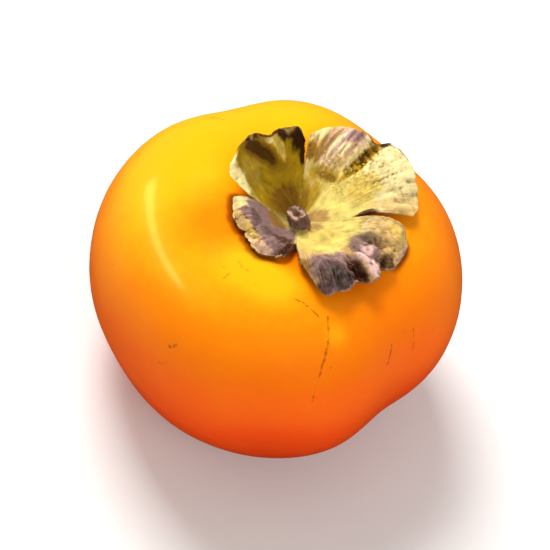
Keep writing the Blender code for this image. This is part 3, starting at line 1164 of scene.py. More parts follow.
RIGHT_FRONT = Sepal(  # crumpled and folded down over the shoulder
    number=0, first=NOTCHES[0], second=NOTCHES[1], first_side=18 * MM, second_side=25.2 * MM,
    length=25.2 * MM, tip=0.5,
    middle_slope=14, tip_slope=-58, edge_turn=-4, skew=-4,
    bays=(
        Bay(-0.72, 0.18, -2.8 * MM), Bay(-0.22, 0.07, 0.9 * MM),
        Bay(0.0, 0.35, 1.4 * MM), Bay(0.2, 0.08, 1.6 * MM),
        Bay(0.66, 0.2, -1.4 * MM),
    ),
    folds=(
        Fold(-0.50, 0.24, 0.60, 0.35, 1.9 * MM),
        Fold(-0.14, 0.08, 0.72, 0.28, -1.5 * MM),
        Fold(0.06, 0.09, 0.68, 0.35, 1.7 * MM),
        Fold(0.28, 0.10, 0.88, 0.22, -1.5 * MM),
        Fold(0.30, 0.12, 0.45, 0.25, 0.8 * MM),
        Fold(0.50, 0.09, 0.48, 0.30, -1.5 * MM),
        Fold(0.78, 0.20, 0.50, 0.40, 1.7 * MM),
    ),
    ragged=0.5 * MM,
    ridges=(Ridges(-0.3, 0.6, 26, 0.09 * MM), Ridges(0.6, 0.4, 22, 0.07 * MM)),
    crumples=(
        Crumple(0.0, 0.8, 0.75, 0.35, 4.0 * MM, 0.7 * MM),
        Crumple(0.0, 0.9, 0.65, 0.4, 1.7 * MM, 0.35 * MM),
    ),
    veins=17,
    fibrous=0.45,
    ground=Tissue.TAN,
    rim=Tissue.PINK,
    stains=(
        Stain(0.0, 1.2, 0.0, 0.25, Tissue.FLESH, 0.9),
        Stain(-0.1, 0.7, -0.25, 0.25, Tissue.STRAW, 0.4),
        Stain(0.2, 0.8, -0.60, 0.20, Tissue.TAN, 0.9),
        Stain(0.3, 0.6, -0.56, 0.16, Tissue.UMBER, 0.35),
        Stain(-0.7, 0.4, 0.22, 0.14, Tissue.PINK, 0.4),
        Stain(-0.7, 0.25, 0.14, 0.14, Tissue.STRAW, 0.6),
        Stain(0.75, 0.25, 0.35, 0.20, Tissue.CREAM, 0.9),
        Stain(0.80, 0.24, 0.60, 0.36, Tissue.TAN, 0.8),
        Stain(0.78, 0.10, 0.72, 0.16, Tissue.STRAW, 0.6),
        Stain(0.40, 0.20, 0.28, 0.18, Tissue.MAUVE, 0.85),
        Stain(0.25, 0.24, 0.45, 0.30, Tissue.MAUVE),
        Stain(0.52, 0.09, 0.42, 0.26, Tissue.PURPLE, 0.55),
        Stain(-0.45, 0.50, 0.50, 0.26, Tissue.MAUVE),
        Stain(-0.48, 0.36, 0.76, 0.28, Tissue.PURPLE),
        Stain(-0.90, 0.12, 0.48, 0.14, Tissue.UMBER, 0.8),
        Stain(-0.42, 0.15, 0.70, 0.14, Tissue.SOOT, 0.9),
        Stain(-0.68, 0.16, 0.95, 0.10, Tissue.MAUVE, 0.7),
        # Painted highlight on the ridge of the fold at 0.30.
        Stain(0.28, 0.20, 0.48, 0.10, Tissue.ROSE, 0.9),
        Stain(0.32, 0.07, 0.44, 0.05, Tissue.MAROON, 0.9),
        # Painted shade in the dip of the fold at -0.14, and a painted highlight on the ridge of the fold at
        # 0.06.
        Stain(-0.13, 0.11, 0.70, 0.24, Tissue.MAROON),
        Stain(0.06, 0.08, 0.72, 0.30, Tissue.ROSE),
        # Painted shade in the dip of the fold at 0.28.
        Stain(0.31, 0.15, 0.84, 0.20, Tissue.MAROON, 0.85),
        Stain(0.62, 0.16, 0.97, 0.10, Tissue.ROSE, 0.5),
        Stain(0.68, 0.14, 1.05, 0.08, Tissue.UMBER, 0.5),
    ),
)

RIGHT_BACK = Sepal(  # the broadest, with a fold between its two rounded halves
    number=1, first=NOTCHES[1], second=NOTCHES[2], first_side=27.6 * MM, second_side=23 * MM,
    length=28 * MM, tip=-0.35,
    middle_slope=16, tip_slope=-10, edge_turn=-14, skew=8, first_swing=6, second_swing=3,
    bays=(
        Bay(0.0, 0.05, -0.8 * MM), Bay(0.14, 0.08, 0.8 * MM), Bay(0.4, 0.3, 2.8 * MM),
        Bay(0.72, 0.2, 1.4 * MM),
    ),
    folds=(
        Fold(0.06, 0.13, 0.60, 0.55, -2.4 * MM),
        Fold(0.50, 0.28, 0.55, 0.38, 2.2 * MM),
        Fold(-0.35, 0.26, 0.60, 0.50, 0.8 * MM),
        Fold(-0.72, 0.08, 0.75, 0.30, -0.6 * MM),
        Fold(-0.92, 0.12, 0.70, 0.40, 0.9 * MM),
    ),
    ragged=0.35 * MM,
    ridges=(
        Ridges(0.5, 0.36, 44, 0.30 * MM), Ridges(-0.45, 0.24, 60, 0.20 * MM),
        Ridges(-0.8, 0.3, 40, 0.06 * MM),
    ),
    crumples=(
        Crumple(0.0, 0.25, 0.5, 0.4, 2.2 * MM, 0.5 * MM),
        Crumple(-0.75, 0.3, 0.6, 0.4, 3.4 * MM, 0.18 * MM),
        Crumple(-0.42, 0.2, 0.55, 0.25, 1.3 * MM, 0.22 * MM),
        Crumple(0.0, 0.5, 0.15, 0.2, 1.4 * MM, 0.45 * MM),
    ),
    veins=17,
    fibrous=0.4,
    scurf=1.0,
    ground=Tissue.CREAM,
    rim=Tissue.TAN,
    stains=(
        Stain(-0.3, 0.9, 0.05, 0.3, Tissue.FLESH, 0.9),
        Stain(-0.42, 0.32, 0.25, 0.24, Tissue.STRAW, 0.85),
        Stain(-0.6, 0.8, -0.58, 0.24, Tissue.TAN),
        Stain(-0.6, 0.5, -0.50, 0.16, Tissue.UMBER, 0.4),
        # Painted shadow of the upright left-back sepal on the disc.
        Stain(0.75, 0.50, -0.35, 0.35, Tissue.OLIVE, 0.9),
        Stain(0.9, 0.35, -0.5, 0.3, Tissue.UMBER, 0.7),
        Stain(0.60, 0.40, 0.50, 0.50, Tissue.TAN, 0.9),
        Stain(0.78, 0.20, 0.20, 0.22, Tissue.STRAW, 0.7),
        Stain(0.90, 0.22, 0.75, 0.30, Tissue.CREAM, 0.9),
        Stain(0.46, 0.26, 0.56, 0.42, Tissue.PINK, slant=-0.4),
        Stain(0.47, 0.04, 0.55, 0.34, Tissue.ROSE, 0.9, slant=-0.4),
        # The pale and dark lines along the raised half are partly its streaked tint and partly painted
        # highlights and shade on its ridges.
        Stain(0.58, 0.035, 0.36, 0.26, Tissue.PALE, 0.8, slant=-0.4),
        Stain(0.47, 0.025, 0.34, 0.24, Tissue.PALE, 0.8, slant=-0.4),
        Stain(0.36, 0.025, 0.40, 0.24, Tissue.PALE, 0.7, slant=-0.3),
        Stain(0.33, 0.10, 0.72, 0.18, Tissue.MAUVE, 0.8, slant=-0.3),
        Stain(0.52, 0.030, 0.64, 0.26, Tissue.MAUVE, 0.5, slant=-0.4),
        Stain(0.41, 0.026, 0.64, 0.26, Tissue.MAUVE, 0.5, slant=-0.3),
        Stain(0.64, 0.040, 0.45, 0.25, Tissue.UMBER, 0.8, slant=-0.4),
        Stain(0.76, 0.055, 0.35, 0.24, Tissue.UMBER, 0.8, slant=-0.2),
        Stain(0.90, 0.050, 0.35, 0.20, Tissue.UMBER, 0.7, slant=-0.1),
        Stain(0.20, 0.07, 0.85, 0.14, Tissue.CREAM, 0.9),
        # Painted shade along the valley between the two halves.
        Stain(0.06, 0.10, 0.45, 0.45, Tissue.OLIVE),
        Stain(0.08, 0.07, 0.62, 0.24, Tissue.UMBER, 0.9),
        # Painted shadow under the foot of the raised half.
        Stain(0.50, 0.40, 0.06, 0.10, Tissue.OLIVE, 0.8),
        Stain(0.40, 0.30, 0.05, 0.05, Tissue.UMBER, 0.8),
        Stain(0.95, 0.16, 0.30, 0.12, Tissue.UMBER, 0.9),
        Stain(0.02, 0.06, 0.98, 0.10, Tissue.SOOT),
        Stain(-0.20, 0.10, 1.02, 0.05, Tissue.SOOT, 0.8),
        Stain(-0.85, 0.12, 0.60, 0.40, Tissue.TAN, 0.7),
        Stain(-1.0, 0.10, 0.12, 0.20, Tissue.MAROON),
        Stain(-1.0, 0.10, 0.80, 0.45, Tissue.TAN, 0.9),
    ),
)

LEFT_BACK = Sepal(  # standing up and cupped
    number=2, first=NOTCHES[2], second=NOTCHES[3], first_side=20.6 * MM, second_side=21.5 * MM,
    length=24.5 * MM, tip=-0.2,
    middle_slope=60, tip_slope=120, edge_turn=-10, skew=-20,
    bays=(Bay(-0.55, 0.2, -3.0 * MM), Bay(0.0, 0.15, 1.8 * MM), Bay(0.35, 0.06, -2.6 * MM)),
    folds=(
        Fold(-0.75, 0.22, 0.60, 0.40, -0.8 * MM),
        Fold(-0.25, 0.12, 0.55, 0.40, 0.9 * MM, slant=0.55),
        Fold(0.10, 0.20, 0.60, 0.40, -0.9 * MM, slant=0.9),
        Fold(0.82, 0.18, 0.80, 0.50, 1.0 * MM),
    ),
    ragged=0.5 * MM,
    ridges=(Ridges(-0.4, 0.6, 26, 0.05 * MM),),
    crumples=(
        Crumple(-0.4, 0.35, 1.0, 0.20, 3.0 * MM, 0.6 * MM),
        Crumple(0.35, 0.25, 1.0, 0.20, 2.4 * MM, 0.7 * MM),
        Crumple(0.9, 0.2, 0.6, 0.5, 4.0 * MM, 0.25 * MM),
    ),
    fibrous=0.12,
    ground=Tissue.OLIVE,
    rim=Tissue.UMBER,
    stains=(
        Stain(0.0, 1.4, -0.15, 0.65, Tissue.OLIVE),
        # Painted shade on the disc at the foot of the standing sepal.
        Stain(-0.1, 0.9, -0.40, 0.30, Tissue.UMBER),
        Stain(0.45, 0.30, 0.35, 0.3, Tissue.STRAW, 0.3),
        Stain(-0.3, 0.35, 0.18, 0.12, Tissue.UMBER, 0.4),
        Stain(0.95, 0.25, 0.65, 0.50, Tissue.PALE),
        Stain(-0.66, 0.44, 0.88, 0.34, Tissue.BROWN),
        Stain(-0.88, 0.24, 0.55, 0.24, Tissue.BROWN),
        Stain(-1.00, 0.14, 0.32, 0.20, Tissue.BROWN),
        # Painted shade along the slanting dip of the cupped face.
        Stain(0.06, 0.26, 0.50, 0.40, Tissue.UMBER, 0.8, slant=1.0),
        Stain(0.08, 0.16, 0.54, 0.34, Tissue.BROWN, 0.8, slant=1.0),
        Stain(0.34, 0.14, 0.98, 0.12, Tissue.BROWN, 0.9),
        # Painted highlights on the slanting ridge and beside its top.
        Stain(-0.32, 0.11, 0.58, 0.30, Tissue.STRAW, slant=0.55),
        Stain(-0.10, 0.09, 0.74, 0.10, Tissue.PALE, 0.5),
    ),
)

LEFT_FRONT = Sepal(  # the shortest, rolled down at its rim
    number=3, first=NOTCHES[3], second=NOTCHES[0], first_side=18 * MM, second_side=14.3 * MM,
    length=16.2 * MM, tip=-0.4,
    middle_slope=20, tip_slope=-52, edge_turn=0, skew=2,
    bays=(Bay(-0.2, 0.08, 0.6 * MM), Bay(0.1, 0.06, 0.5 * MM), Bay(0.5, 0.3, -0.3 * MM)),
    folds=(
        Fold(-0.5, 0.22, 0.6, 0.5, 1.0 * MM),
        Fold(-0.1, 0.16, 0.7, 0.4, -0.8 * MM),
        Fold(0.35, 0.2, 0.6, 0.5, 1.1 * MM),
    ),
    ragged=0.45 * MM,
    ridges=(Ridges(0.0, 0.9, 28, 0.09 * MM),),
    crumples=(
        Crumple(0.0, 0.7, 0.6, 0.5, 4.0 * MM, 0.7 * MM),
        Crumple(0.85, 0.2, 0.8, 0.4, 1.8 * MM, 0.4 * MM),
    ),
    veins=11,
    fibrous=0.5,
    ground=Tissue.MAUVE,
    rim=Tissue.CREAM,
    stains=(
        Stain(-0.1, 1.2, -0.20, 0.50, Tissue.MAUVE),
        Stain(-0.5, 0.6, -0.60, 0.25, Tissue.UMBER, 0.8),
        Stain(-0.50, 0.22, 0.25, 0.20, Tissue.PURPLE, 0.7),
        Stain(0.10, 0.30, 0.10, 0.20, Tissue.PURPLE, 0.7),
        Stain(0.60, 0.35, 0.00, 0.25, Tissue.MAROON, 0.8),
        Stain(-0.92, 0.26, 0.85, 0.40, Tissue.CREAM),
        Stain(-0.20, 0.60, 0.90, 0.28, Tissue.TAN, 0.9),
        Stain(-0.45, 0.35, 0.98, 0.10, Tissue.CREAM, 0.7),
        Stain(0.30, 0.30, 0.80, 0.12, Tissue.PINK, 0.6),
        Stain(-0.05, 0.22, 0.62, 0.16, Tissue.STRAW, 0.7),
        Stain(0.90, 0.26, 0.50, 0.6, Tissue.MAROON),
    ),
)


class SheetPlaces(NamedTuple):
    """Places on the calyx's sheet, with what its finish needs there.

    The colours are the painted tints, the surface vectors hold across, along and a seed, the crests tell how
    far a place stands out from those round it, and fibrous how plainly its fibres show.
    """

    points: Array
    colours: Array
    surface: Array
    crest: Array
    fibrous: Array

    def paint_on(self, mesh: Mesh) -> None:
        """Stores what the finish needs on a mesh that has a vertex for each place."""
        opaque = np.ones((*self.crest.shape, 1))
        paint(mesh, "tissue", "FLOAT_COLOR", np.concatenate([self.colours, opaque], axis=-1))
        paint(mesh, "surface", "FLOAT_VECTOR", self.surface)
        paint(mesh, "crest", "FLOAT", self.crest)
        paint(mesh, "fibrous", "FLOAT", self.fibrous)


@dataclass
class CalyxSheet:
    """The dried calyx: four sepals on one disc, bent, ridged, crumpled and torn at their rims.

    In its methods, across runs from -1 to 1 between a sepal's notches, and blade from 0 at the notches to 1
    at the tip, and is negative on the disc.
    """

    form: FruitForm
    upper: SheetFinish
    under: SheetFinish
    sepals: tuple[Sepal, ...] = (RIGHT_FRONT, RIGHT_BACK, LEFT_BACK, LEFT_FRONT)
    cad_thickness: float = 0.7 * MM
    thickness: float = 0.5 * MM
    gap: float = 0.35 * MM
    flat_middle: float = 2.0 * MM
    disc_slope: float = 36.0
    notch_taper: float = 3.0 * MM
    tip_power: float = 2.4
    rounding: float = 0.4
    corner_cut: float = 0.06
    corner_power: float = 7
    relief_ramp: float = 0.4
    disc_share: float = 0.3125
    grain_size: float = 0.9 * MM
    grain_height: float = 0.10 * MM
    wrinkle_height: float = 0.30 * MM
    wrinkle_length: float = 7 * MM
    wrinkles_round: float = 3.2
    nick_size: float = 0.35
    crest_scales: tuple[tuple[int, float], ...] = ((2, 0.32 * MM), (5, 0.8 * MM))
    break_size: float = 2.2 * MM
    stain_breaks: float = 0.2
    stain_streaks: float = 0.16
    stain_edge: Range = (0.25, 0.58)
    rim_width: Range = (0.7 * MM, 0.2 * MM)
    rim_breaks: float = 0.25 * MM
    rim_strength: float = 0.8
    edge_width: Range = (0.45 * MM, 0.15 * MM)
    edge_breaks: float = 0.12 * MM
    edge_strength: float = 0.9
    edge_shade: Colour = (0.40, 0.24, 0.16)
    halo_at: tuple[float, float] = (-2.2 * MM, 1.6 * MM)
    halo_radius: float = 4.6 * MM
    halo_edge: Range = (0.2, 0.8)
    halo_strength: float = 0.85
    shade_limits: Range = (0.4, 1.6)
    scurf_patch: float = 3.0 * MM
    columns: int = 120
    rows: int = 80
    bend_steps: int = 40

    def __post_init__(self) -> None:
        """Works out every sepal once, for the sheet and what grows on it, and joins them along the disc."""
        self.grids = [self.sepal_places(sepal) for sepal in self.sepals]
        on_disc = np.linspace(0, 1, self.rows + 1) <= self.disc_share + TINY
        for grid, following in zip(self.grids, self.grids[1:] + self.grids[:1]):
            for last, first in ((grid.points, following.points), (grid.colours, following.colours)):
                last[-1, on_disc] = first[0, on_disc] = (last[-1, on_disc] + first[0, on_disc]) / 2

    def rim(self) -> Array:
        """Places along the rim of the whole sheet."""
        beyond = int(self.disc_share * self.rows)
        sides = [side for grid in self.grids for side in (grid.points[0, beyond:], grid.points[-1, beyond:])]
        return np.concatenate([*sides, *(grid.points[:, -1] for grid in self.grids)])

    def outline(self, sepal: Sepal, across: Array) -> Array:
        """Length of the sheet from its middle to its torn rim.

        Args:
            sepal: The sepal.
            across: Places across it.

        Returns:
            A length for each place.
        """
        side = np.where(across < sepal.tip, sepal.first_side, sepal.second_side)
        away = np.abs(across - sepal.tip) / np.where(across < sepal.tip, 1 + sepal.tip, 1 - sepal.tip)
        length = side + (sepal.length - side) * (1 - away**self.tip_power)
        length = length - self.corner_cut * sepal.length * np.abs(across) ** self.corner_power
        for bay in sepal.bays:
            length = length - bay.depth * bell(across - bay.across, bay.width)
        line = stacked(across * 6, sepal.number * 3.7, 0)
        nicks = np.maximum(lumps(line, self.nick_size, octaves=2, seed=2.0), 0) ** 2 * 2
        return length - sepal.ragged * (lumps(line, 1.0) + nicks)

    def slopes(self, sepal: Sepal, across: Array, at: Array, notch: Array) -> Array:
        """Slope of the bent sheet.

        Args:
            sepal: The sepal.
            across: Places across it.
            at: Lengths along the sheet from its middle.
            notch: Lengths at which the sepal parts from the disc.

        Returns:
            A slope in radians for each place.
        """
        middle = (notch + sepal.length) / 2
        disc = self.disc_slope * ramp(at, self.flat_middle, notch)
        to_middle = (sepal.middle_slope - self.disc_slope) * ramp(at, notch, middle)
        to_tip = (sepal.tip_slope - sepal.middle_slope) * ramp(at, middle, sepal.length)
        turned = (sepal.edge_turn * across**2 + sepal.skew * across) * ramp(at, notch, middle)
        return np.radians(disc + to_middle + to_tip + turned)

    def relief(self, sepal: Sepal, points: Array, across: Array, blade: Array) -> Array:
        """How far the folds, crumples, ridges, grain and wrinkles stand up, from large to small.

        Args:
            sepal: The sepal.
            points: Places on the bent sheet.
            across: Places across the sepal.
            blade: Places along it.

        Returns:
            A height for each place.
        """
        height = np.zeros_like(blade)
        for fold in sepal.folds:
            height += fold.height * fold.cover(across, blade)
        for crumple in sepal.crumples:
            seed = sepal.number + crumple.size / MM
            billows = 2.6 * np.abs(lumps(points, crumple.size, seed=seed)) - 0.5
            height += crumple.height * crumple.cover(across, blade) * billows
        height *= ramp(blade, 0, self.relief_ramp)
        for ridges in sepal.ridges:
            line = stacked(across * ridges.count / 4, blade * 1.2, sepal.number)
            wave = 1 - 3.2 * np.abs(lumps(line, 1.0, octaves=2, seed=sepal.number + 11.0))
            where = bell(across - ridges.across, ridges.width)
            height += ridges.height * wave * where * ramp(blade, 0.0, 0.3)
        grain = self.grain_height * lumps(points, self.grain_size, octaves=2, seed=21.0)
        return height + grain * ramp(blade, -0.6, 0.2) + self.wrinkles(points, blade)

    def wrinkles(self, points: Array, blade: Array) -> Array:
        """How far the disc's wrinkles stand up, which run out from its middle.

        Args:
            points: Places on the bent sheet.
            blade: Places along the sepal.

        Returns:
            A height for each place.
        """
        x, y = (points[..., axis] - self.form.hollow_centre[axis] for axis in (0, 1))
        turn = np.arctan2(y, x)
        run = np.hypot(x, y) / self.wrinkle_length
        line = stacked(self.wrinkles_round * np.cos(turn), self.wrinkles_round * np.sin(turn), run)
        wrinkle = 1 - 2.6 * np.abs(lumps(line, 1.0, octaves=2, seed=51.0))
        on_disc = ramp(blade, -0.62, -0.45) * (1 - ramp(blade, 0.0, 0.4))
        return self.wrinkle_height * wrinkle * on_disc

    def tints(
        self, sepal: Sepal, points: Array, across: Array, blade: Array, to_rim: Array
    ) -> Array:
        """Colours from the sepal's ground tint, its stains, its rim, the halo round the stub and its darker
        edge.

        Args:
            sepal: The sepal.
            points: Places on the finished sheet.
            across: Places across the sepal.
            blade: Places along it.
            to_rim: Lengths left to the rim.

        Returns:
            A colour for each place.
        """
        breaks = lumps(points, self.break_size, octaves=4, seed=sepal.number + 31.0)
        streaks = lumps(stacked(across * 9, blade * 1.6, sepal.number * 2.3), 1.0, seed=32.0)
        ragged = self.stain_breaks * breaks + self.stain_streaks * streaks
        on_blade = ramp(blade + 0.15 * breaks, -0.1, 0.25)
        colour = blended(np.array(Tissue.FLESH.value), sepal.ground.value, on_blade)
        for stain_and_shade in sepal.stains:
            share = ramp(stain_and_shade.cover(across, blade) + ragged, *self.stain_edge)
            colour = blended(colour, stain_and_shade.tissue.value, stain_and_shade.strength * share)
        # A band of the rim's tint along the rim; on the pale rims it is partly a painted highlight on the
        # edge.
        rim = ramp(to_rim + self.rim_breaks * breaks, *self.rim_width)
        colour = blended(colour, sepal.rim.value, self.rim_strength * rim)
        x, y = (points[..., axis] - self.halo_at[axis] for axis in (0, 1))
        halo = ramp(bell(np.hypot(x, y), self.halo_radius) + 0.15 * breaks, *self.halo_edge)
        colour = blended(colour, Tissue.UMBER.value, self.halo_strength * halo)
        # Darker at the very edge: a dark dried edge, with painted contact shadow.
        edge = self.edge_strength * ramp(to_rim + self.edge_breaks * breaks, *self.edge_width)[..., None]
        colour = colour * (1 - edge * (1 - np.array(self.edge_shade)))
        mottled = (0.15 + 0.45 * sepal.fibrous) * breaks
        shade = 1 + 0.18 * streaks * ramp(blade, 0, 0.3) + mottled
        return colour * np.clip(shade, *self.shade_limits)[..., None]

    def azimuths(
        self, sepal: Sepal, across: Array, on_blade: Array, opened: Array
    ) -> Array:
        """Directions from the middle of the calyx.

        Args:
            sepal: The sepal.
            across: Places across it.
            on_blade: Share of the way from the notches to the rim.
            opened: Share by which the sides have opened to the notches' gaps.

        Returns:
            An azimuth in radians for each place.
        """
        span = (sepal.second.azimuth - sepal.first.azimuth) % 360
        fan = across * np.sqrt(1 - self.rounding * on_blade**2 / 2)
        open_by = np.interp(across, (-1, 1), (sepal.first.gap, sepal.second.gap)) * opened
        swing = across * np.abs(across) * np.where(across < 0, sepal.first_swing, sepal.second_swing)
        middle = sepal.first.azimuth + span / 2 + swing * on_blade
        return np.radians(middle + fan * (span / 2 - open_by))

    def crests(self, relief: Array) -> Array:
        """Where the sheet stands out from what is round it.

        Args:
            relief: Heights by column and row.

        Returns:
            A number for each place, from 0 in a valley to 1 on a crest.
        """
        crest = np.full_like(relief, 0.5)
        for away, depth in self.crest_scales:
            around = [np.roll(relief, shift, axis=axis) for shift in (-away, away) for axis in (0, 1)]
            crest += 0.5 * np.clip((relief - sum(around) / 4) / depth, -1, 1)
        return np.clip(crest, 0, 1)

    def sepal_places(self, sepal: Sepal) -> SheetPlaces:
        """Works out one sepal's share of the sheet.

        Args:
            sepal: The sepal.

        Returns:
            Its places by column and row.
        """
        columns, rows = np.linspace(-1, 1, self.columns + 1), np.linspace(0, 1, self.rows + 1)
        across, along = np.meshgrid(columns, rows, indexing="ij")
        notch = np.interp(across, (-1, 1), (sepal.first.radius, sepal.second.radius))
        on_disc = np.clip(along / self.disc_share, 0, 1)
        on_blade = np.clip((along - self.disc_share) / (1 - self.disc_share), 0, 1)
        rim = self.outline(sepal, columns)[:, None]
        share = on_blade * np.sqrt(1 - self.rounding * across**2 / 2)
        length = notch * on_disc + (rim - notch) * share
        out, up = np.zeros_like(length), np.zeros_like(length)
        for step in range(self.bend_steps):
            slope = self.slopes(sepal, across, length * (step + 0.5) / self.bend_steps, notch)
            out += np.cos(slope) * length / self.bend_steps
            up += np.sin(slope) * length / self.bend_steps
        azimuth = self.azimuths(sepal, across, on_blade, np.clip((length - notch) / self.notch_taper, 0, 1))
        centre_x, centre_y = self.form.hollow_centre
        base = self.form.top(np.array(centre_x), np.array(centre_y)) + self.gap + self.cad_thickness
        points = stacked(centre_x + out * np.cos(azimuth), centre_y + out * np.sin(azimuth), base + up)
        blade = (length - notch) / (sepal.length - notch)
        relief = self.relief(sepal, points, across, blade)
        points = points + normals_of(points) * relief[..., None]
        points = self.form.clear(points, self.gap + self.thickness)
        return SheetPlaces(
            points,
            self.tints(sepal, points, across, blade, rim - length),
            stacked(across, blade, sepal.number * 7.0),
            self.crests(relief),
            sepal.fibrous * ramp(blade, 0, 0.35),
        )

    def scurf_cover(self, sepal: Sepal, grid: SheetPlaces) -> Array:
        """How thickly the scurf lies at a sepal's foot and along its valley.

        Args:
            sepal: The sepal.
            grid: Its places.

        Returns:
            A share for each place.
        """
        patches = ramp(lumps(grid.points, self.scurf_patch, octaves=2, seed=41.0), -0.15, 0.25)
        across, blade = grid.surface[..., 0], grid.surface[..., 1]
        foot = bell(blade - 0.08, 0.28) * bell(across - 0.05, 0.5)
        valley = bell(across + 0.05, 0.16) * bell(blade - 0.45, 0.30)
        return sepal.scurf * patches * np.maximum(foot, valley)

    def upper_face(self) -> Mesh:
        """The upper face of the whole sheet, with its sepals welded along the disc."""
        bm = bmesh.new()
        for sepal, grid in zip(self.sepals, self.grids):
            mesh = grid_mesh("sepal", grid.points, wrap=False)
            grid.paint_on(mesh)
            paint(mesh, "scurf", "FLOAT", self.scurf_cover(sepal, grid))
            bm.from_mesh(mesh)
            bpy.data.meshes.remove(mesh)
        bmesh.ops.remove_doubles(bm, verts=bm.verts, dist=WELD)
        bmesh.ops.reverse_faces(bm, faces=bm.faces)
        mesh = bpy.data.meshes.new("calyx_upper")
        bm.to_mesh(mesh)
        bm.free()
        mesh.shade_smooth()
        return mesh

    def build(self) -> Object:
        """Gives the sheet its thickness and dresses it."""
        mesh = self.upper_face()
        for finish in (self.upper, self.under):
            mesh.materials.append(finish.material())
        sheet = object_from("calyx_draft", mesh)
        solidify = sheet.modifiers.new("thickness", "SOLIDIFY")
        solidify.thickness = self.thickness
        solidify.offset = -1
        solidify.material_offset = 1
        return deliver(settled(sheet, "calyx_sheet"), "calyx")


class GrowthTrees:
    """The Geometry Nodes trees that grow strands along paths and grains over a surface."""

    def __init__(self) -> None:
        """Builds both trees."""
        self.strands = self._strands()
        self.grains = self._grains()

    @staticmethod
    def _start(name: str, inputs: dict[str, Value | str]) -> tuple[Tree, dict[str, NodeSocket], Node]:
        """Starts a tree that changes a geometry.

        Args:
            name: Name of the tree.
            inputs: Its inputs between the geometry and the material, as new_group takes them.

        Returns:
            What new_group gives.
        """
        inputs = {"Geometry": "Geometry", **inputs, "Material": "Material"}
        tree, given, out = new_group("Geometry", name, inputs, {"Geometry": "Geometry"})
        tree.tree.is_modifier = True
        return tree, given, out

    @staticmethod
    def _finish(tree: Tree, out: Node, grown: NodeSocket, given: dict[str, NodeSocket], lump: float) -> None:
        """Ends a tree with realized instances, lumps and a material.

        Args:
            tree: The tree.
            out: Its output node.
            grown: What has grown so far.
            given: The tree's inputs, which say how deep the lumps are.
            lump: Width of a lump.
        """
        smooth = tree.node("GeometryNodeSetShadeSmooth", Geometry=grown)
        real = tree.node("GeometryNodeRealizeInstances", Geometry=smooth.outputs[0])
        offset = tree.shift(given["Lumps"], Scale=1 / lump, Detail=1.0)
        lumpy = tree.node("GeometryNodeSetPosition", Geometry=real.outputs[0], Offset=offset)
        dressed = tree.node("GeometryNodeSetMaterial", Geometry=lumpy.outputs[0], Material=given["Material"])
        tree.feed(out.inputs[0], dressed.outputs[0])

    def _strands(self) -> NodeTree:
        """Round strands along the edges of a mesh, tapered by its attribute named girth."""
        inputs = {"Radius": 0.1 * MM, "Sides": 5, "Lumps": 0.1 * MM}
        tree, given, out = self._start("strands", inputs)
        curve = tree.node("GeometryNodeMeshToCurve", Mesh=given["Geometry"]).outputs[0]
        girth = tree.node("GeometryNodeInputNamedAttribute", {"data_type": "FLOAT"}, Name="girth").outputs[0]
        profile = tree.node(
            "GeometryNodeCurvePrimitiveCircle", Resolution=given["Sides"], Radius=given["Radius"]
        ).outputs[0]
        tube = tree.node(
            "GeometryNodeCurveToMesh", Curve=curve, Profile_Curve=profile, Scale=girth, Fill_Caps=True
        )
        self._finish(tree, out, tube.outputs[0], given, 0.6 * MM)
        return tree.tree

    def _grains(self) -> NodeTree:
        """Small flattened and tilted grains over a mesh, as thickly as its attribute named scurf says."""
        inputs = {
            "Size": 0.3 * MM, "Spacing": 0.5 * MM, "Density": 3.0e6, "Narrow": 0.7, "Flat": 0.4, "Seed": 4,
            "Lumps": 0.5 * MM,
        }
        tree, given, out = self._start("grains", inputs)
        scurf = tree.node("GeometryNodeInputNamedAttribute", {"data_type": "FLOAT"}, Name="scurf").outputs[0]
        spread = tree.node(
            "GeometryNodeDistributePointsOnFaces", {"distribute_method": "POISSON"}, Mesh=given["Geometry"],
            Distance_Min=given["Spacing"], Density_Max=given["Density"], Density_Factor=scurf,
            Seed=given["Seed"],
        )
        wide = tree.times(tree.chance(0.35, 1.0, given["Seed"]), given["Size"])
        narrow, flat = (tree.times(wide, given[name]) for name in ("Narrow", "Flat"))
        scale = tree.node("ShaderNodeCombineXYZ", X=wide, Y=narrow, Z=flat).outputs[0]
        tilt = tree.chance((-0.6, -0.6, 0.0), (0.6, 0.6, 6.3), given["Seed"])
        turned = tree.node(
            "FunctionNodeRotateRotation", {"rotation_space": "LOCAL"}, Rotation=spread.outputs["Rotation"],
            Rotate_By=tilt,
        )
        grain = tree.node("GeometryNodeMeshIcoSphere", Radius=1.0, Subdivisions=2).outputs[0]
        placed = tree.node(
            "GeometryNodeInstanceOnPoints", Points=spread.outputs["Points"], Instance=grain,
            Rotation=turned.outputs[0], Scale=scale,
        )
        self._finish(tree, out, placed.outputs[0], given, 0.4 * MM)
        return tree.tree


def grown(source: Object, tree: NodeTree, name: str, **values: float | Material) -> Object:
    """Runs a Geometry Nodes tree on an object and keeps the result as a plain mesh.

    Args:
        source: The object to run it on, which is used up.
        tree: The tree.
        name: Name of the result.
        **values: The tree's inputs by name.

    Returns:
        The new object.
    """
    modifier = source.modifiers.new(name, "NODES")
    modifier.node_group = tree
    for item in tree.interface.items_tree:
        if item.item_type == "SOCKET" and item.in_out == "INPUT" and item.name in values:
            modifier[item.identifier] = values[item.name]
    return settled(source, name)


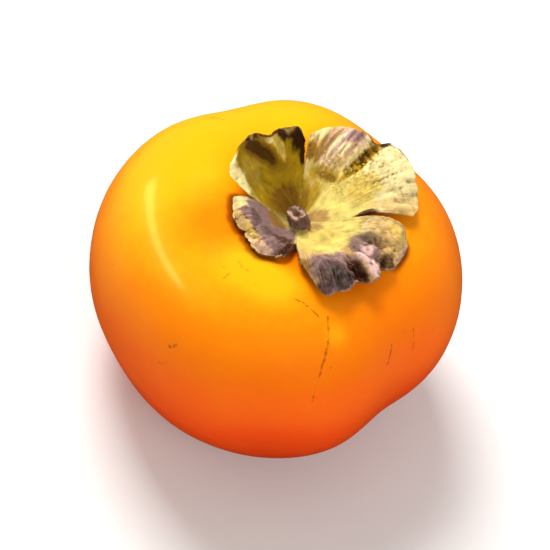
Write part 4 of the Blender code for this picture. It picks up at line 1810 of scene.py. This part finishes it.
@dataclass
class CalyxVeins:
    """The raised veins that fan out over each sepal, half sunk in the sheet, laid along its rows."""

    sheet: CalyxSheet
    trees: GrowthTrees
    finish: SheetFinish
    radius: float = 0.08 * MM
    lift: float = 0.1
    sides: int = 6
    lump_height: float = 0.1 * MM
    # The veins count as crests, so the tissue group paints a highlight along them.
    crest: float = 0.7
    steps: int = 34
    first_row: int = 18
    last_row: int = 78
    shortest_by: int = 14
    stray: float = 0.3
    wander: float = 0.05
    girths: Range = (0.7, 1.1)
    least_girth: float = 0.02
    seed: int = 12

    def strip(self, grid: SheetPlaces, number: int, vein: int, across: float, last: float) -> SheetPlaces:
        """Places on the sheet along one vein.

        Args:
            grid: The sepal's share of the sheet, raised to the veins' height.
            number: The sepal's number, which picks the noise.
            vein: The vein's number on it, which picks the noise too.
            across: Where across the sepal the vein starts.
            last: The row that it ends at.

        Returns:
            The places, from the vein's foot to its end.
        """
        line = np.linspace(0, 1, self.steps)
        rows = self.first_row + (last - self.first_row) * line
        bend = stacked(line * 2.5, vein * 3.3, number * 5.1)
        bend = self.wander * lumps(bend, 1.0, octaves=2, seed=3.0)
        column = (across + bend * line + 1) / 2 * self.sheet.columns
        column = np.clip(column, 1, self.sheet.columns - 1)
        near, row = np.floor(column).astype(int), np.round(rows).astype(int)
        part = (column - near)[:, None]
        return SheetPlaces(
            grid.points[near, row] * (1 - part) + grid.points[near + 1, row] * part,
            grid.colours[near, row],
            grid.surface[near, row],
            np.full(self.steps, self.crest),
            grid.fibrous[near, row],
        )

    def paths(self) -> Mesh:
        """The veins' middle lines as edges, with the sheet's colours and a girth that tapers."""
        rng = np.random.default_rng(self.seed)
        line = np.linspace(0, 1, self.steps)
        narrowing = np.sqrt(np.clip(1 - line**3, self.least_girth, 1))
        strips, girths = [], []
        for sepal, grid in zip(self.sheet.sepals, self.sheet.grids):
            raised = grid.points + normals_of(grid.points) * (self.lift * self.radius)
            raised_grid = grid._replace(points=raised)
            for vein in range(sepal.veins):
                across = -1 + 2 * (vein + 0.5 + rng.uniform(-self.stray, self.stray)) / sepal.veins
                last = self.last_row - rng.uniform(0, self.shortest_by)
                strips.append(self.strip(raised_grid, sepal.number, vein, across, last))
                girths.append(rng.uniform(*self.girths) * narrowing * ramp(line, -0.1, 0.3))
        joined = SheetPlaces(*(np.concatenate(kind) for kind in zip(*strips)))
        step = np.arange(len(joined.points)).reshape(-1, self.steps)
        mesh = bpy.data.meshes.new("vein_paths")
        edges = stacked(step[:, :-1], step[:, 1:]).reshape(-1, 2)
        mesh.from_pydata(joined.points.tolist(), edges.tolist(), [])
        joined.paint_on(mesh)
        paint(mesh, "girth", "FLOAT", np.concatenate(girths))
        return mesh

    def build(self) -> Object:
        """Grows the veins along their paths."""
        source = object_from("vein_draft", self.paths())
        veins = grown(
            source, self.trees.strands, "calyx_veins", Radius=self.radius, Sides=self.sides,
            Lumps=self.lump_height, Material=self.finish.material(),
        )
        return deliver(veins, "calyx")


@dataclass
class DiscScurf:
    """The crumbly scurf at the foot of a sepal and along its valley."""

    sheet: CalyxSheet
    trees: GrowthTrees
    finish: SheetFinish
    size: float = 0.44 * MM
    spacing: float = 0.40 * MM
    density: float = 3.0e6
    lump_height: float = 0.6 * MM
    seed: int = 4

    def build(self) -> Object:
        """Scatters the grains over the upper face."""
        source = object_from("scurf_draft", self.sheet.upper_face())
        scurf = grown(
            source, self.trees.grains, "calyx_scurf", Size=self.size, Spacing=self.spacing,
            Density=self.density, Seed=self.seed, Lumps=self.lump_height, Material=self.finish.material(),
        )
        return deliver(scurf, "calyx")


# --------------------------------------------------------------------------------------------- the stub


@dataclass
class StemStub:
    """The broken-off stem: a leaning, fibrous stub with a flared foot, a pale cut ring and a dark pith.

    The outline holds radius and height in millimetres, from the middle of its foot to the pith.
    """

    finish: BarkFinish
    segments: int = 120
    rows: int = 90
    lean: tuple[float, float] = (-0.4, -0.05)
    foot_reach: float = 2.44 * MM
    outline: tuple[tuple[float, float], ...] = (
        (0.0, 0.0), (2.2, 0.0), (2.5, 0.4), (2.1, 1.0), (1.9, 1.7), (2.1, 2.5), (1.8, 2.9), (1.0, 2.6),
        (0.0, 2.0),
    )
    flutes: int = 17
    flute_depth: float = 0.16 * MM
    lump_size: float = 1.3 * MM
    lump_height: float = 0.28 * MM
    break_size: float = 1.5 * MM
    break_height: float = 0.35 * MM
    pith_edge: Range = (-0.1 * MM, 0.5 * MM)

    def roughness(self, ring: Array, angle: Array, side: Array) -> Array:
        """How far the flutes and lumps push the bark out.

        Args:
            ring: Places on the plain spun outline.
            angle: Their turn round the stub.
            side: How fully each row lies on the side.

        Returns:
            A distance for each place, negative inwards.
        """
        wave = self.flutes * angle / 2 + 1.5 * lumps(ring, 2 * MM, octaves=2, seed=2.0)
        flutes = np.abs(np.sin(wave))
        bumps = self.lump_height * lumps(ring, self.lump_size, seed=5.0)
        return bumps - self.flute_depth * (1 - flutes) * side

    def build(self) -> Object:
        """Spins the outline round, roughens it, leans it and sets it where its solid stands."""
        profile = np.array(self.outline) * MM
        corners = np.concatenate([[0], np.cumsum(np.linalg.norm(np.diff(profile, axis=0), axis=1))])
        _, foot, flare, _, _, shoulder, crown, ring_edge, end = corners
        at = np.linspace(0, end, self.rows)
        radius, height = (np.interp(at, corners, values) for values in profile.T)
        for values in (radius, height):
            values[1:-1] = (values[:-2] + 2 * values[1:-1] + values[2:]) / 4
        angle = np.linspace(0, 2 * math.pi, self.segments, endpoint=False)[:, None]
        side = ramp(at, foot * 0.9, flare) * (1 - ramp(at, crown, ring_edge))
        top = ramp(at, shoulder, crown)
        ring = stacked(np.cos(angle) * radius, np.sin(angle) * radius, height)
        rough = self.roughness(ring, angle, side)
        outward = stacked(np.cos(angle), np.sin(angle), 0)
        points = ring + outward * (rough * side * ramp(radius, 0, 1 * MM))[..., None]
        points[..., 2] += self.break_height * lumps(ring, self.break_size, octaves=2, seed=9.0) * top
        for axis, lean in enumerate(self.lean):
            points[..., axis] += lean * points[..., 2]
        low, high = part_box("stem_stub")
        points += np.array([high.x - self.foot_reach, (low.y + high.y) / 2, low.z])
        zone = top + ramp(at, *(ring_edge + edge for edge in self.pith_edge))
        mesh = grid_mesh("stem_stub_bark", points, wrap=True)
        paint(mesh, "surface", "FLOAT_VECTOR", stacked(angle, at / MM, zone))
        return deliver(dressed("stem_stub_bark", mesh, self.finish), "stem_stub")


# ------------------------------------------------------------------------------------------- the studio


@dataclass
class SoftLight:
    """A rectangular soft light, placed by its direction and distance from the fruit.

    A mirrored one is seen in gloss alone, and the others light the surfaces alone.
    """

    name: str
    azimuth: float
    elevation: float
    distance: float
    width: float
    height: float
    power: float
    turn: float = 0.0
    mirrored: bool = False
    colour: Colour = (1.0, 1.0, 1.0)

    def place(self, aim: Vector) -> None:
        """Adds the light.

        Args:
            aim: The place that it faces.
        """
        data = bpy.data.lights.new(self.name, "AREA")
        data.shape, data.size, data.size_y = "RECTANGLE", self.width, self.height
        data.energy, data.color = self.power, self.colour
        light = object_from(self.name, data)
        light.visible_glossy = self.mirrored
        light.visible_diffuse = not self.mirrored
        azimuth, elevation = math.radians(self.azimuth), math.radians(self.elevation)
        level = math.cos(elevation)
        out = Vector((level * math.cos(azimuth), level * math.sin(azimuth), math.sin(elevation)))
        facing = (-out).to_track_quat("-Z", "Y").to_matrix().to_4x4()
        turned = facing @ Matrix.Rotation(math.radians(self.turn), 4, "Z")
        light.matrix_world = Matrix.Translation(aim + out * self.distance) @ turned


@dataclass
class Studio:
    """A plain pale floor, soft lights and the camera."""

    paper: PaperFinish
    aim: Place = (0.0, 0.0, 30.5 * MM)
    elevation: float = 55.0
    roll: float = 18.0
    distance: float = 0.6
    view_width: float = 0.119
    sensor: float = 36.0
    floor_side: float = 6.0
    ambient: float = 0.42
    ambient_tint: Colour = (1.0, 0.99, 0.97)
    mirrored: float = 0.12
    mirrored_tint: Colour = (1.0, 0.75, 0.3)
    lights: tuple[SoftLight, ...] = (
        SoftLight("key", 128, 52, 0.9, 0.40, 0.40, 9.5),
        SoftLight("window", 173, 28, 0.9, 0.90, 0.12, 9.0, 30, mirrored=True, colour=(1.0, 0.86, 0.25)),
        SoftLight("fill", -55, 32, 1.0, 0.8, 0.8, 5.0),
    )

    def build(self) -> None:
        """Adds the floor, the lights, the surroundings and the camera."""
        self.add_floor()
        for light in self.lights:
            light.place(Vector(self.aim))
        self.add_surroundings()
        self.add_camera()
        bpy.context.scene.view_settings.view_transform = "Standard"

    def add_floor(self) -> None:
        """Adds the floor that the fruit rests on."""
        half = self.floor_side / 2
        sides = np.array([-half, half])
        floor = object_from("floor", grid_mesh("floor", stacked(sides[:, None], sides, 0.0), wrap=False))
        floor.data.materials.append(self.paper.material())

    def add_surroundings(self) -> None:
        """Adds even light from all round, warmer and weaker in gloss."""
        world = bpy.data.worlds.new("surroundings")
        world.use_nodes = True
        tree = Tree(world.node_tree)
        in_gloss = tree.node("ShaderNodeLightPath").outputs["Is Glossy Ray"]
        tree.fill(
            world.node_tree.nodes["Background"],
            Color=tree.mix(in_gloss, self.ambient_tint, self.mirrored_tint),
            Strength=tree.between(in_gloss, 0.0, 1.0, self.ambient, self.mirrored),
        )
        bpy.context.scene.world = world

    def add_camera(self) -> None:
        """Adds the camera, looking along +Y from above and rolled."""
        elevation, roll = math.radians(self.elevation), math.radians(self.roll)
        back = Vector((0.0, -math.cos(elevation), math.sin(elevation)))
        right = Vector((1.0, 0.0, 0.0))
        up = back.cross(right)
        turned_right = right * math.cos(roll) + up * math.sin(roll)
        turned_up = up * math.cos(roll) - right * math.sin(roll)
        data = bpy.data.cameras.new("camera")
        data.sensor_width = self.sensor
        data.lens = self.sensor * self.distance / self.view_width
        camera = object_from("camera", data)
        pose = Matrix((turned_right, turned_up, back)).transposed().to_4x4()
        pose.translation = Vector(self.aim) + back * self.distance
        camera.matrix_world = pose
        bpy.context.scene.camera = camera


SCRATCHES = (
    Scratch(((12.7, -22.8, 54.3), (14.5, -27.2, 51.6), (15.1, -31.1, 48.1), (15.1, -35.3, 42.2)), 0.70),
    Scratch(((27.5, -18.7, 46.1), (28.0, -21.4, 43.0)), 0.50, 0.9),
    Scratch(((30.8, -13.2, 46.4), (32.6, -15.4, 40.9)), 0.50, 0.6),
    Scratch(((5.5, -21.7, 55.6), (7.3, -21.8, 55.5), (9.3, -22.6, 55.1), (10.9, -23.3, 54.6)), 0.50, 0.9),
    Scratch(((-9.1, -20.1, 55.4), (-9.8, -22.1, 54.8)), 0.60),
    Scratch(((-8.1, -17.4, 55.8), (-7.0, -18.5, 55.8), (-5.4, -18.8, 55.9)), 0.80, 0.6),
    Scratch(((-10.8, -19.1, 55.2), (-10.2, -19.3, 55.3)), 0.50, 0.7),
    Scratch(((-3.5, -21.3, 55.7), (-3.1, -21.4, 55.7)), 0.50, 0.9),
    Scratch(((-6.2, -21.7, 55.5), (-5.2, -21.7, 55.5)), 0.55, 0.5),
    Scratch(((-16.0, -33.8, 42.6), (-14.7, -34.0, 43.6)), 1.30, 0.65),
    Scratch(((-17.1, -35.0, 37.7), (-15.9, -35.4, 38.8)), 1.20, 0.6),
    Scratch(((-32.7, -18.3, 41.6), (-32.3, -19.3, 41.0)), 0.50),
    Scratch(((-23.6, 20.0, 50.6), (-20.9, 19.2, 52.2)), 0.60, 0.9),
    Scratch(((17.0, -29.8, 48.3), (17.2, -30.1, 48.0)), 0.60, 0.9),
)

# Painted light and shade on the skin: the wide first one reddens the hollow round the calyx, deeper colour
# with painted shade, and the rest lighten and darken where light falls more and less.
GLOWS = (
    Glow((1.5, -0.5, 52.0), 30.0, -0.30),
    Glow((-6.0, -17.5, 56.0), 9.0, 0.14),
    Glow((1.0, -19.5, 56.0), 9.0, 0.16),
    Glow((16.5, -25.0, 52.5), 4.5, 0.12),
    Glow((30.0, -6.0, 48.0), 20.0, -0.07),
    Glow((-18.5, -10.0, 56.0), 15.0, -0.13),
    Glow((38.0, -3.0, 42.0), 16.0, 0.09),
    Glow((-34.0, -19.0, 38.0), 14.0, 0.06),
    Glow((10.0, -39.0, 24.0), 16.0, -0.12),
)


def main() -> None:
    """Builds every piece in order, reports each, and adds the studio."""
    logging.basicConfig(level=logging.INFO, format="%(name)s: %(message)s")
    groups, trees, form = SharedGroups(), GrowthTrees(), FruitForm()
    upper = SheetFinish(groups, "calyx_upper_face", veil=(0.5, 0.4, 0.2), veil_share=0.0)
    under = SheetFinish(groups, "calyx_under_face", veil=(0.30, 0.22, 0.07), veil_share=0.55)
    ridge = SheetFinish(groups, "calyx_vein_ridge", veil=(0.6, 0.45, 0.25), veil_share=0.2)
    crumb = SheetFinish(groups, "scurf_crumb", veil=(0.78, 0.58, 0.08), veil_share=0.3)
    sheet = CalyxSheet(form, upper, under)
    makers = (
        FruitSkin(form, SkinFinish(groups, SCRATCHES, GLOWS), sheet.rim()),
        sheet,
        CalyxVeins(sheet, trees, ridge),
        DiscScurf(sheet, trees, crumb),
        StemStub(BarkFinish(groups)),
    )
    for maker in makers:
        piece = maker.build()
        log.info("%s: %d faces", piece.name, len(piece.data.polygons))
    Studio(PaperFinish(groups)).build()


if __name__ == "__main__":
    main()
